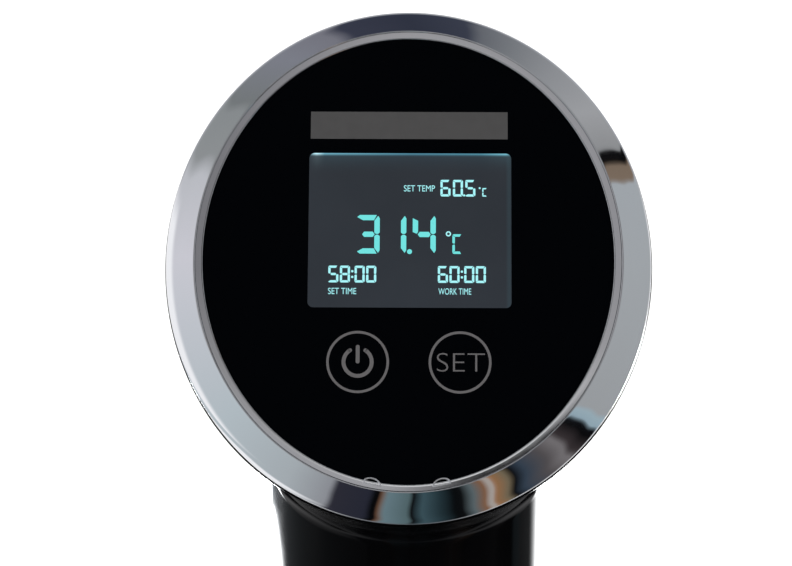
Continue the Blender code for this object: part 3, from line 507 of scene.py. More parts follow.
def ring_profile():
    """The chrome ring: a tight crest by the trim, a long slope, then a rounded edge."""
    crest = arc_points((RING_IN + 0.2 * MM, 0.52 * MM), 0.2 * MM, 180, 62, 7)
    edge = arc_points((RING_EDGE - 0.5 * MM, -5.45 * MM), 0.5 * MM, 18, -25, 7)
    start, end = Vector(crest[-1]), Vector(edge[0])
    leave, arrive = Vector((0.883, -0.469)) * 7 * MM, Vector((0.31, -0.95)) * 8 * MM
    slope = [tuple(eased(start, leave, end, arrive, i / 20)) for i in range(1, 20)]
    return [
        (RING_IN, RING_FLOOR),
        *crest,
        *slope,
        *edge,
        (RING_EDGE - 0.1 * MM, -6.5 * MM),
        (RING_EDGE - 0.35 * MM, RING_BACK),
        (5.4 * MM, RING_BACK),
        (5.4 * MM, RING_FLOOR),
    ]


def head_front():
    ring = face_turned("head_ring", ring_profile(), "chrome", 50)
    ring.data.materials.append(Look.made["edge_metal"])
    for face in ring.data.polygons:
        if (face.center - FACE).dot(OUT) < EDGE_START:
            face.material_index = 1
    stand_for(ring, "bezel_ring")
    trim = [(1.0 * MM, RING_FLOOR), (RING_IN - 0.08 * MM, RING_FLOOR)]
    trim += [(RING_IN - 0.08 * MM, 0.66 * MM), (RING_IN - 0.11 * MM, 0.71 * MM)]
    trim += [(0.5 * MM, 0.41 * MM), (0.38 * MM, 0.375 * MM)]
    trim += arc_points((0.14 * MM, 0.2 * MM), 0.14 * MM, 82, 180, 5)
    trim += [(0, 0.03 * MM), (1.0 * MM, 0.03 * MM)]
    lip = face_turned("glass_trim", trim, "satin_metal", 40)
    lip.data.materials.append(Look.made["edge_metal"])
    for face in lip.data.polygons:
        flat = face.center - FACE
        if math.hypot(flat.x / (LENS_X + LIP_EDGE), flat.dot(UP) / (LENS_Y + LIP_EDGE)) < 1:
            face.material_index = 1
    stand_for(lip, "lens_trim")
    for side in (-1, 1):
        trim_tab(side)
    faces = [(0, -LENS_THICK), (0, -0.2 * MM), (0.2 * MM, 0)]
    rings = [face_ring(LENS_HIDDEN - inset, height) for inset, height in faces]
    stand_for(loft("display_glass", rings, "lens_black"), "front_lens")


def trim_tab(side):
    """A small arched tab of the trim that laps over the glass at its lower edge."""
    foot_x = side * 6.8 * MM
    foot_y = -LENS_Y * math.sqrt(1 - (foot_x / LENS_X) ** 2)
    lean = -foot_x * LENS_Y**2 / (foot_y * LENS_X**2)  # slope of the glass's edge there
    foot_y -= 0.5 * MM
    half, tall, stroke, soft = 1.8, 1.3, 0.36, 0.08  # in millimetres
    section = [(0, 0.02), (0, 0.45), (soft, 0.53)]
    section += [(stroke - soft, 0.53), (stroke, 0.45), (stroke, 0.02)]
    rings = []
    for inset, height in section:
        outline = arc_points((0, 0), 1, 0, 180, 28)
        ring = [((half - inset) * x, (tall - inset) * y + 0.1 * inset) for x, y in outline]
        ring += [(-half + inset, inset - 0.3), (half - inset, inset - 0.3)]
        ring = [(foot_x + x * MM, foot_y + (y + lean * x) * MM) for x, y in ring]
        rings.append([on_face(x, y, height * MM) for x, y in ring])
    tab = loft(f"trim_tab_{'left' if side < 0 else 'right'}", rings, "tab_metal", True, 60)
    return detail(tab, "stick", "satin_metal")


# ------------------------ printed and lit marks
PRINT_HEIGHT, LIT_HEIGHT = 0.01 * MM, 0.06 * MM  # undersides of printed and of lit marks


def on_glass(piece, look):
    """Lays a mark on the face; it rides with the stick."""
    piece.matrix_world = Matrix.Translation(FACE) @ Matrix.Rotation(FACE_TILT, 4, "X")
    detail(piece, "stick", "lens_black" if look.endswith("_ink") else "lcd")


def flat_mark(name, outlines, look, height=LIT_HEIGHT, thick=0.02 * MM):
    """Thin flat shapes on the glass: each outline is a list of (x, y) on the face."""
    bm = bmesh.new()
    for outline in outlines:
        low = [bm.verts.new((x, y, height)) for x, y in outline]
        high = [bm.verts.new((x, y, height + thick)) for x, y in outline]
        bm.faces.new(high)
        bm.faces.new(reversed(low))
        count = len(outline)
        for i in range(count):
            j = (i + 1) % count
            bm.faces.new((low[i], low[j], high[j], high[i]))
    on_glass(keep(name, bm, look, 30), look)


def band(inner, outer, first, last, steps, centre=(0, 0)):
    """A piece of a flat ring, from one angle to another, in degrees."""
    far = arc_points(centre, outer, first, last, steps)
    return far + arc_points(centre, inner, last, first, steps)


def rectangle(width, height, radius=0.0, centre=(0.0, 0.0), corner=8):
    points = []
    for quarter, (sx, sy) in enumerate(((1, 1), (-1, 1), (-1, -1), (1, -1))):
        x = centre[0] + sx * (width / 2 - radius)
        y = centre[1] + sy * (height / 2 - radius)
        for i in range(corner + 1 if radius else 1):
            a = math.pi / 2 * (quarter + i / corner)
            points.append((x + radius * math.cos(a), y + radius * math.sin(a)))
    return points


def words(name, text, corner, size, height, look, thin=0.0):
    """Plain generic lettering with its lower left corner and its width and height given."""
    curve = bpy.data.curves.new(name, "FONT")
    curve.body = text
    curve.size = size[1] * 1.4
    curve.extrude = 0.01 * MM
    curve.offset = -thin
    curve.resolution_u = 6
    made = bpy.data.objects.new(name, curve)
    bpy.context.scene.collection.objects.link(made)
    bpy.context.view_layer.update()
    mesh = bpy.data.meshes.new_from_object(made)
    bpy.data.objects.remove(made)
    for axis in (0, 1):
        values = [v.co[axis] for v in mesh.vertices]
        low, scale = min(values), size[axis] / (max(values) - min(values))
        for v in mesh.vertices:
            v.co[axis] = corner[axis] + (v.co[axis] - low) * scale
    for v in mesh.vertices:
        v.co.z += height
    mesh.materials.clear()
    mesh.materials.append(Look.made[look])
    piece = bpy.data.objects.new(name, mesh)
    bpy.context.scene.collection.objects.link(piece)
    on_glass(piece, look)


SEGMENTS = {"0": "abcdef", "1": "bc", "3": "abcdg", "4": "bcfg", "5": "acdfg", "6": "acdefg"}
SEGMENTS.update({"8": "abcdefg", "C": "adef"})


def digit_outlines(char, x, y, width, tall, stroke, gap):
    """Seven-segment strokes with slanted ends, from the digit's lower left corner."""
    s, g, middle = stroke, gap, tall / 2
    top = [(0, tall - 0.4 * s), (0.5 * s, tall), (width - 0.55 * s, tall)]
    top += [(width - s - g, tall - s), (s + g, tall - s)]
    right = [(width - 0.3 * s, tall - 0.15 * s), (width, tall - 0.65 * s)]
    right += [(width, middle + 0.35 * s), (width - 0.3 * s, middle + g)]
    right += [(width - 0.7 * s, middle + g), (width - s, middle + 0.35 * s)]
    right += [(width - s, tall - s - g)]
    left = [(0, tall - 0.5 * s - g), (s, tall - s - g), (s, middle + 0.5 * s)]
    left += [(0.75 * s, middle + 0.5 * g + 0.1 * s), (0, middle + 0.45 * s)]
    centre = [(0.85 * s + g, middle), (1.3 * s, middle + 0.5 * s)]
    centre += [(width - 1.3 * s, middle + 0.5 * s), (width - 0.85 * s - g, middle)]
    centre += [(width - 1.3 * s, middle - 0.5 * s), (1.3 * s, middle - 0.5 * s)]

    def flipped(outline):
        return [(px, tall - py) for px, py in reversed(outline)]

    shapes = {"a": top, "b": right, "f": left, "g": centre}
    shapes.update({"d": flipped(top), "c": flipped(right), "e": flipped(left)})
    return [[(x + px, y + py) for px, py in shapes[name]] for name in SEGMENTS[char]]


def number(name, text, left, base, tall, width, stroke, look, pitch=0.0, colon=0.0):
    """A row of segment digits, in millimetres; a colon takes its own narrow space."""
    outlines, x = [], left
    for char in text:
        if char == ":":
            for share in (0.33, 0.67):
                middle = (x + colon / 2 - (pitch - width) / 2, base + tall * share)
                outlines.append(rectangle(stroke, stroke, stroke * 0.4, middle, 4))
            x += colon
            continue
        outlines += digit_outlines(char, x, base, width, tall, stroke, 0.08 * stroke)
        x += pitch
    flat_mark(name, [mm(outline) for outline in outlines], look)


def disc(radius, centre):
    return arc_points(centre, radius, 0, 360, 20)[:-1]


def ring_outlines(radius, stroke, centre):
    """A closed thin ring as two half bands."""
    inner, outer = radius - stroke / 2, radius + stroke / 2
    return [band(inner, outer, a, a + 180, 40, centre) for a in (0, 180)]


def display():
    window = rectangle(LCD_X, LCD_Y, 1.1 * MM, LCD_AT)
    flat_mark("lcd_window", [window], "lcd", PRINT_HEIGHT, 0.03 * MM)

    big = dict(base=0.93, tall=7.85, stroke=1.07, look="digit_light")
    number("main_reading_tens", "3", -10.2, width=4.5, **big)
    number("main_reading_ones", "1", -4.9, width=4.5, **big)
    number("main_reading_tenths", "4", 0.87, width=4.6, **big)
    number("main_unit_letter", "C", 8.77, 0.93, 4.0, 2.0, 0.5, "digit_light")
    flat_mark("main_reading_point", [disc(0.5 * MM, (0.26 * MM, 1.36 * MM))], "digit_light")
    ring = ring_outlines(0.4 * MM, 0.26 * MM, (7.98 * MM, 5.0 * MM))
    flat_mark("main_unit_ring", ring, "small_light")

    row = dict(tall=3.4, width=2.02, stroke=0.46, look="small_light")
    number("set_reading", "605", 6.36, 12.62, pitch=2.48, **row)
    number("set_unit_letter", "C", 14.7, 12.62, 1.75, 1.0, 0.26, "small_light")
    marks = [disc(0.22 * MM, (11.1 * MM, 12.85 * MM)), disc(0.2 * MM, (14.2 * MM, 14.35 * MM))]
    flat_mark("set_points", marks, "small_light")
    number("time_left", "58:00", -15.85, -4.93, pitch=2.3, colon=0.62, **row)
    number("time_worked", "60:00", 5.9, -4.93, pitch=2.3, colon=0.62, **row)

    for name, caption, left, base, width in (
        ("set_temperature", "SET TEMP", -0.94, 13.62, 6.2),
        ("set_time", "SET TIME", -15.85, -7.29, 5.6),
        ("work_time", "WORK TIME", 6.03, -7.29, 6.5),
    ):
        corner, size = mm([(left, base), (width, 1.27)])
        words(f"caption_{name}", caption, corner, size, 0.07 * MM, "small_light")


def printed_marks():
    outline = rectangle(39.5 * MM, 5.6 * MM, 0, (0.05 * MM, 27.2 * MM))
    flat_mark("plain_bar", [outline], "bar_ink", PRINT_HEIGHT)
    for name, at in KEYS.items():
        outlines = ring_outlines(KEY_R, KEY_STROKE, at)
        flat_mark(f"key_ring_{name}", outlines, "grey_ink", PRINT_HEIGHT)
    at = KEYS["power"]
    arc = band(2.4 * MM, 3.16 * MM, 123, 417, 60, at)
    ends = [disc(0.38 * MM, at + Vector((side * 1.51 * MM, 2.33 * MM))) for side in (-1, 1)]
    stem = rectangle(0.76 * MM, 3.7 * MM, 0.37 * MM, (at.x, at.y + 1.55 * MM))
    flat_mark("power_symbol", [arc, stem, *ends], "grey_ink", PRINT_HEIGHT)
    at = KEYS["set"]
    corner = (at.x - 4.6 * MM, at.y - 1.85 * MM)
    words("key_set", "SET", corner, (9.5 * MM, 3.7 * MM), 0.02 * MM, "grey_ink", 0.1 * MM)


# ------------------------ housing
def horn_point(angle, t, inset):
    """A point on the flare from the round neck to the oval rim, t running from 0 to 1."""
    rim_x = LENS_X + RING_OUT + 0.1 * MM - inset
    rim_y = LENS_Y + (RING_OUT + 0.1 * MM) * RING_Y_SHARE - inset
    radius = NECK_R - inset
    start = Vector((radius * math.cos(angle), radius * math.sin(angle), HORN_BASE))
    end = on_face(rim_x * math.cos(angle), rim_y * math.sin(angle), -RIM_DEPTH)
    reach = (end - start).length
    return eased(start, Vector((0, 0, 0.6 * reach)), end, OUT * (0.55 * reach), t)


def back_y(z):
    if z <= HORN_BASE:
        return NECK_R
    low, high = 0.0, 1.0
    for _ in range(40):
        t = (low + high) / 2
        if horn_point(math.pi / 2, t, 0).z < z:
            low = t
        else:
            high = t
    return horn_point(math.pi / 2, low, 0).y


def shell(name, look=None, around=180, along=30):
    def wall(inset, lip):
        foot = [(inset + lip, 0), (inset, lip)]
        rings = [circle(NECK_R - inner, around, NECK_BASE + rise) for inner, rise in foot]
        rings += [circle(NECK_R - inset, around, z * MM) for z in (200, 230, 258)]
        for i in range(along + 1):
            t = i / along
            rings.append([horn_point(2 * math.pi * k / around, t, inset) for k in range(around)])
        return rings

    return loft(name, wall(0, 0.3 * MM) + wall(WALL, 0)[::-1], look, hollow=True)


def cover_block(name, shrink):
    low = (-COVER_X + shrink, 4 * MM, COVER_LOW + shrink)
    high = (COVER_X - shrink, 70 * MM, COVER_TOP - shrink)
    return box(name, low, high, round_axis=1, radius=7 * MM, rounding=16)


def drill(name, radius, x, z, low=10 * MM, high=60 * MM):
    """A round bar along Y, such as the cutter of a screw hole."""
    return cylinder(name, radius, low, high, axis="Y", at=(x, 0, z))


SCREW_X, SCREW_Z = 12.5 * MM, 314.0 * MM
GLAND_Z = box_of("cord_gland")[2].z
GLAND_BOSS = 1.6 * MM
SEAT_Y = 31.8 * MM
BRACKET_SCREWS_Z = (234.5 * MM, 247.5 * MM)


def housing():
    body = shell("housing_shell", "black_gloss")
    cut(body, cover_block("cover_window", 0))
    stand_for(settle(body), "main_housing")


def rear_cover():
    cover = shell("cover_shell", "black_gloss")
    boolean(cover, cover_block("cover_outline", GAP), "INTERSECT")
    low, high = (-CLIP_HALF, 28.2 * MM, 184 * MM), (CLIP_HALF, SEAT_Y, 254 * MM)
    seat = box("clip_seat", low, high, round_axis=1, radius=3 * MM)
    top = back_y(GLAND_Z) + GLAND_BOSS
    profile = [(0, 26 * MM), (9.5 * MM, 26 * MM), (9.5 * MM, top), (0, top)]
    profile = rounded_profile(profile, 0.8 * MM)
    add(cover, seat, turned("gland_boss", profile, steps=64, axis="Y", at=(0, 0, GLAND_Z)))
    for side in (-1, 1):
        x = (side * 9 - 3, side * 9 + 3)
        add(
            cover,
            block(f"hook_{side}", x, (22.2, 24.2), (175.2, 186)),
            block(f"hook_root_{side}", x, (23.2, 27.4), (182, 186)),
            drill(f"boss_{side}", 4.2 * MM, side * SCREW_X, SCREW_Z, 20.3 * MM, 29.5 * MM),
        )
    cut(cover, drill("gland_hole", 5.6 * MM, 0, GLAND_Z))
    for side in (-1, 1):
        cut(
            cover,
            drill(f"hole_{side}", 1.9 * MM, side * SCREW_X, SCREW_Z),
            drill(f"sink_{side}", 3.5 * MM, side * SCREW_X, SCREW_Z, 25.4 * MM),
        )
    for i in range(4):
        z, slot = 266 + i * 4.8, dict(round_axis=1, radius=1.05 * MM)
        cut(cover, block(f"vent_{i}", (-13, 13), (10, 60), (z, z + 2.2), **slot))
    for z in BRACKET_SCREWS_Z:
        cut(cover, drill(f"seat_hole_{z:.4f}", 1.8 * MM, 0, z, 20 * MM, 50 * MM))
    stand_for(settle(cover), "rear_cover")


def cord_gland():
    seat = (back_y(GLAND_Z) + GLAND_BOSS + GAP) / MM
    profile = [(3.4, 22.6), (7.4, 22.6), (7.4, 25.6), (5.2, 25.6), (5.2, seat), (7.6, seat)]
    profile += [(7.6, seat + 2.6), (5.7, seat + 3.3)]
    for i in range(4):  # ribs that let the sleeve bend
        y, taper = seat + 3.9 + 1.3 * i, 0.15 * i
        profile += [(5.6 - taper, y), (5.1 - taper, y + 0.35)]
        profile += [(5.1 - taper, y + 0.75), (5.5 - taper, y + 1.05)]
    profile += [(4.9, seat + 9), (3.4, seat + 9)]
    profile = rounded_profile(mm(profile), 0.25 * MM, 3)
    gland = turned("gland_sleeve", profile, "rubber", 64, axis="Y", at=(0, 0, GLAND_Z))
    stand_for(gland, "cord_gland")


def cross_screw(name, node, head, shank, at):
    """A pan-head screw with a cross recess, along +Y.

    head is its radius, low and high, and shank is its radius and low, in millimetres.
    """
    (radius, low, high), (core, tip) = mm([head, shank])
    profile = [(0, tip), (core, tip), (core, low), (radius, low)]
    for i in range(7):
        a = math.pi / 2 * i / 6
        rise = 0.3 * MM + (high - low - 0.3 * MM) * math.sin(a)
        profile.append((radius * math.cos(a) ** 0.6, low + rise))
    profile[-1] = (0, high)
    screw = turned(name, profile, "screw_steel", 48, axis="Y", at=at)
    x, z, deep = at[0], at[2], high - 0.9 * MM
    wide, thin = radius * 0.55, 0.28 * MM
    for i, (a, b) in enumerate(((wide, thin), (thin, wide))):
        cut(screw, box(f"{name}_recess_{i}", (x - a, deep, z - b), (x + a, high + 2 * MM, z + b)))
    stand_for(settle(screw), node)


def screws():
    for count, side in enumerate((-1, 1), 1):
        at = (side * SCREW_X, 0, SCREW_Z)
        names = f"back_screw_{count}", f"cover_screw_{count}"
        cross_screw(*names, (3.0, 25.7, 27.8), (1.5, 14), at)
    seat = SEAT_Y / MM + 3.3
    for count, z in enumerate(BRACKET_SCREWS_Z, 1):
        names = f"clip_screw_{count}", f"bracket_screw_{count}"
        cross_screw(*names, (2.7, seat, seat + 1.7), (1.4, 24), (0, 0, z))


# ------------------------ wet end
def collar():
    profile = [(28.9, 164.0), (30.5, 164.0), (30.9, 165.0), (30.9, 173.2)]
    profile += [(30.5, 174.0), (25.0, 174.0), (25.0, 171.3), (28.9, 171.3)]
    profile = rounded_profile(mm(profile), 0.5 * MM)
    stand_for(turned("collar", profile, "chrome", 160), "collar_ring")


TWIST = 25.0
LUGS = (90, 210, 330)
LUG_ROOM = 4.2  # degrees to each side of a lug's middle
SLEEVE_WALL = 0.8 * MM


def arc_block(name, radii, angles, heights, steps=16):
    """A piece of a ring, in millimetres and degrees."""
    outline = arc_points((0, 0), radii[0] * MM, *angles, steps)
    outline += arc_points((0, 0), radii[1] * MM, *angles[::-1], steps)
    return plate(name, outline, *[z * MM for z in heights])


def spun(degrees):
    return Matrix.Rotation(math.radians(degrees), 4, "Z")


def sleeve():
    inner, low, high = SLEEVE_R - SLEEVE_WALL, SLEEVE_LOW.z, SLEEVE_HIGH.z
    profile = [(inner, low), (SLEEVE_R, low), (SLEEVE_R, high), (inner, high)]
    body = turned("sleeve_tube", rounded_profile(profile, 0.25 * MM, 3), "stainless", 180)
    for i in range(12):
        slot = dict(round_axis=0, radius=1.55 * MM, turn=spun(30 * i + 15))
        cut(body, block(f"intake_{i}", (20, 35), (-1.6, 1.6), (56, 96), **slot))
    for i, degrees in enumerate(LUGS):
        last = degrees + TWIST + LUG_ROOM
        cut(
            body,
            arc_block(f"lock_{i}", (26, 30), (degrees - LUG_ROOM, last), (24.6, 29.4)),
            arc_block(f"entry_{i}", (26, 30), (last - 2 * LUG_ROOM, last), (10, 27)),
        )
    stand_for(settle(body), "sleeve")
    surface = SLEEVE_R / MM
    for name, z in (("low", 104), ("high", 146)):
        radii = (surface - 0.05, surface + 0.03)
        mark = arc_block(f"water_mark_{name}", radii, (262, 278), (z, z + 0.6))
        mark.data.materials.append(Look.made["grey_ink"])
        detail(mark, "sleeve", "black_satin")


def bottom_cap():
    profile = [(0, 0), (28.8, 0), (30.0, 1.2), (30.0, 19.2), (29.2, 20.0), (27.3, 20.0)]
    profile += [(27.3, 34.0), (25.4, 34.0), (25.4, 2.6), (0, 2.6)]
    cap = turned("cap_shell", rounded_profile(mm(profile), 0.7 * MM), "black_satin", 180)
    for i, degrees in enumerate(LUGS):
        add(cap, arc_block(f"lug_{i}", (26.5, 28.2), (degrees - 3.2, degrees + 3.2), (25.4, 28.6)))
    for i in range(8):
        turn = spun(45 * i + 22.5)
        outlet = dict(round_axis=0, radius=2.0 * MM, turn=turn)
        slot = dict(round_axis=2, radius=1.3 * MM, turn=turn)
        cut(
            cap,
            block(f"outlet_{i}", (20, 35), (-4.5, 4.5), (5, 15.5), **outlet),
            block(f"floor_slot_{i}", (11, 23.5), (-1.4, 1.4), (-2, 4), **slot),
        )
    stand_for(settle(cap), "bottom_cap")


def heater():
    radius, inner_leg, tube = 17.2 * MM, 11.3 * MM, 2.75 * MM
    start, sweep, per_turn = 210, 5 * 360 + 132, 40
    path = [polar(radius, start, z * MM) for z in (160, 140, 128, 124, 121)]
    count = round(sweep / 360 * per_turn)
    for i in range(count + 1):
        share = i / count
        path.append(polar(radius, start - 8 - sweep * share, (116 - 50 * share) * MM))
    end = start - 8 - sweep
    knots = [
        path[-1],
        polar(radius - 0.8 * MM, end - 24, 62.5 * MM),
        polar(inner_leg + 2.0 * MM, end - 52, 61.0 * MM),
        polar(inner_leg, end - 100, 68 * MM),
        polar(inner_leg, end - 100, 84 * MM),
        polar(inner_leg, end - 100, 160 * MM),
    ]
    path += smooth_path(knots, 8)[1:]
    stand_for(wire("coil", path, tube, "stainless"), "heater_coil")


# ------------------------ clip
RIM_STOP_Z = 227  # underside of the bracket's shelf, in millimetres
SPRING_TURNS, SPRING_STEPS = 4, 28


def add_cheeks(piece, name, outline, middle, half):
    """A pair of upright plates, one on each side."""
    for side in (-1, 1):
        x = side * middle
        add(piece, plate(f"{name}_{side}", outline, x - half, x + half, axis="X"))


def clip_bracket():
    front, half = SEAT_Y / MM, (-10, 10)
    base = block("bracket", half, (front + 0.3, front + 3.0), (RIM_STOP_Z, 253), look="black_satin")
    add(base, block("shelf", half, (front + 2, 45), (RIM_STOP_Z, RIM_STOP_Z + 3)))
    ear = mm([(front + 1.5, 228), (44.6, 228), (48, 236)])
    ear += arc_points((CLIP_PIN.y, CLIP_PIN.z), 5 * MM, -20, 90, 24)
    ear += mm([(front + 1.5, 252)])
    add_cheeks(base, "ear", ear, 8.4 * MM, 1.55 * MM)
    cut(base, cylinder("bracket_bore", 1.8 * MM, -20 * MM, 20 * MM, axis="X", at=CLIP_PIN))
    for z in BRACKET_SCREWS_Z:
        cut(base, drill(f"bracket_hole_{z:.4f}", 1.8 * MM, 0, z, 20 * MM, 50 * MM))
    stand_for(settle(base, bevel=0.25 * MM), "clip_bracket")


def thick_line(points, thickness):
    left, right = [], []
    for i, p in enumerate(points):
        along = (points[min(i + 1, len(points) - 1)] - points[max(i - 1, 0)]).normalized()
        side = Vector((-along.y, along.x)) * (thickness / 2)
        left.append(p + side)
        right.append(p - side)
    return left + right[::-1]


def clip_lever():
    knots = [(53.5, 284.0), (52.6, 276.0), (50.4, 262.0), (49.6, 250.0), (51.8, 238.0)]
    knots += [(53.85, 228.0), (53.0, 217.0), (48.0, 209.5), (42.4, 205.0)]
    knots += [(40.2, 198.0), (40.1, 190.0), (40.6, 184.5)]
    strip = thick_line(smooth_path(mm(knots), 6), 2.8 * MM)
    lever = plate("lever", strip, -CLIP_HALF, CLIP_HALF, "black_satin", axis="X")
    cheek = [(50.5, 254.0), (44.5, 247.2), *arc_points((43.0, 241.0), 4.6, 110, 260, 24), (52.5, 232.0)]
    add_cheeks(lever, "cheek", mm(cheek), 11.65 * MM, 1.35 * MM)
    cut(lever, cylinder("lever_bore", 1.8 * MM, -30 * MM, 30 * MM, axis="X", at=CLIP_PIN))
    stand_for(settle(lever, bevel=0.45 * MM), "clip_lever")
    for i in range(4):  # raised grip ribs on the thumb plate
        y, z = 54.0 - 0.12 * i, 281.0 - 2.6 * i
        ends = mm([(-8.5, y, z), (8.5, y, z)])
        rib = wire(f"thumb_rib_{i + 1}", ends, 0.55 * MM, "black_satin")
        detail(rib, "clip", "black_satin")


def clip_spring():
    path = [(-4.2, -5.6, 9.0), (-4.2, -4.4, 5.0)]
    steps = SPRING_TURNS * SPRING_STEPS
    for i in range(steps + 1):
        a = math.pi - 2 * math.pi * i / SPRING_STEPS
        path.append((-4.2 + 8.4 * i / steps, 2.9 * math.cos(a), 2.9 * math.sin(a)))
    path += [(4.2, -0.6, 5.0), (4.2, 0.6, 8.6)]
    path = [CLIP_PIN + Vector(p) * MM for p in path]
    stand_for(wire("spring", path, 0.55 * MM, "screw_steel"), "clip_spring")


def clip_pin():
    profile = [(0, -14.6), (2.4, -14.6), (2.6, -13.4), (1.5, -13.3)]
    profile += [(1.5, 13.4), (1.1, 14.2), (0, 14.2)]
    profile = rounded_profile(mm(profile), 0.3 * MM)
    stand_for(turned("pin", profile, "screw_steel", 64, axis="X", at=CLIP_PIN), "clip_pin")


# ------------------------ light, floor and camera
EYE_RISE = math.radians(33.8)
EYE = Vector((0, -math.cos(EYE_RISE), math.sin(EYE_RISE)))  # from face to camera


def srgb(r, g, b):
    def linear(c):
        c /= 255
        return c / 12.92 if c <= 0.04045 else ((c + 0.055) / 1.055) ** 2.4

    return (linear(r), linear(g), linear(b))


# What stands round the object, seen by the chrome: degrees round the face from its right side,
# counter-clockwise, and the colour there.
ROOM_ABOVE = [
    (0, 168, 172, 176), (17, 168, 173, 178), (17.8, 128, 112, 98), (21.4, 124, 108, 94),
    (22.0, 10, 10, 12), (24.6, 12, 12, 14), (25.4, 148, 149, 151), (36, 164, 165, 168),
    (50, 146, 148, 152), (62, 122, 125, 130), (70, 104, 107, 114), (74, 60, 64, 78),
    (90, 50, 54, 68), (108, 58, 61, 76), (113, 122, 122, 132), (126, 130, 132, 142),
    (142, 122, 126, 128), (145, 142, 146, 148), (157, 148, 151, 153), (162, 196, 197, 203),
    (180, 212, 211, 219),
]
ROOM_BELOW = [
    (-180, 212, 211, 219), (-142, 186, 196, 202), (-122, 172, 179, 184),
    (-111.5, 146, 148, 154), (-110, 46, 46, 56), (-101.5, 40, 42, 54), (-100, 8, 10, 12),
    (-98.8, 12, 10, 12), (-98.2, 112, 82, 64), (-96.6, 104, 126, 134), (-90.5, 84, 104, 108),
    (-89.3, 12, 12, 14), (-86.5, 60, 82, 90), (-82, 36, 52, 58), (-78.5, 10, 12, 14),
    (-76.5, 14, 16, 18), (-73.7, 92, 104, 108), (-71, 128, 92, 68), (-69.2, 176, 172, 168),
    (-68.0, 150, 108, 74), (-64.8, 116, 104, 84), (-62.8, 10, 10, 12), (-59.5, 54, 66, 80),
    (-53, 84, 80, 82), (-48, 120, 116, 118), (-46, 58, 52, 54), (-41.5, 12, 12, 14),
    (-39.6, 14, 14, 18), (-38.8, 150, 172, 184), (-36.3, 158, 178, 188),
    (-35.3, 160, 163, 166), (0, 168, 172, 176),
]
# In front of the face, seen by the trim: dull on its right, bright above.
ROOM_FRONT = [
    (-180, 142, 142, 146), (-90, 154, 154, 157), (-30, 122, 122, 126), (0, 116, 116, 120),
    (45, 150, 150, 152), (90, 205, 206, 208), (130, 215, 216, 218), (160, 150, 150, 153),
    (180, 142, 142, 146),
]


def stops_of(room_part, whole, start):
    """Colour stops for a ramp: whole degrees fill it, and start is the place of 0 degrees."""
    return [(degrees / whole + start, srgb(*colour)) for degrees, *colour in room_part]


class Sky(Shading):
    """The world's shader: a plain bright studio, and for reflections the room round the object."""

    def __init__(self):
        world = bpy.data.worlds.new("studio")
        bpy.context.scene.world = world
        super().__init__(world)
        self.nodes.clear()

    def along(self, direction):
        """How far the ray points along a direction, from -1 to 1."""
        node = self.node("VectorMath")
        node.operation = "DOT_PRODUCT"
        coords = self.node("TexCoord").outputs["Generated"]
        self.feed(node.inputs, (coords, tuple(direction)))
        return node.outputs["Value"]

    def ripple(self, scale, depth):
        """Small irregular shifts, so that nothing reflected has a ruled edge."""
        coords = self.node("TexCoord").outputs["Generated"]
        noise = self.node("TexNoise", Vector=coords, Scale=scale, Detail=0.0).outputs["Fac"]
        return self.math("MULTIPLY", self.math("SUBTRACT", noise, 0.5), depth)

    def both(self, first, *others):
        for other in others:
            first = self.math("MULTIPLY", first, other)
        return first

    def step(self, value, start, end):
        """0 before start, 1 after end, smooth between."""
        node = self.node("MapRange", Value=value, From_Min=start, From_Max=end)
        node.interpolation_type = "SMOOTHSTEP"
        return node.outputs["Result"]


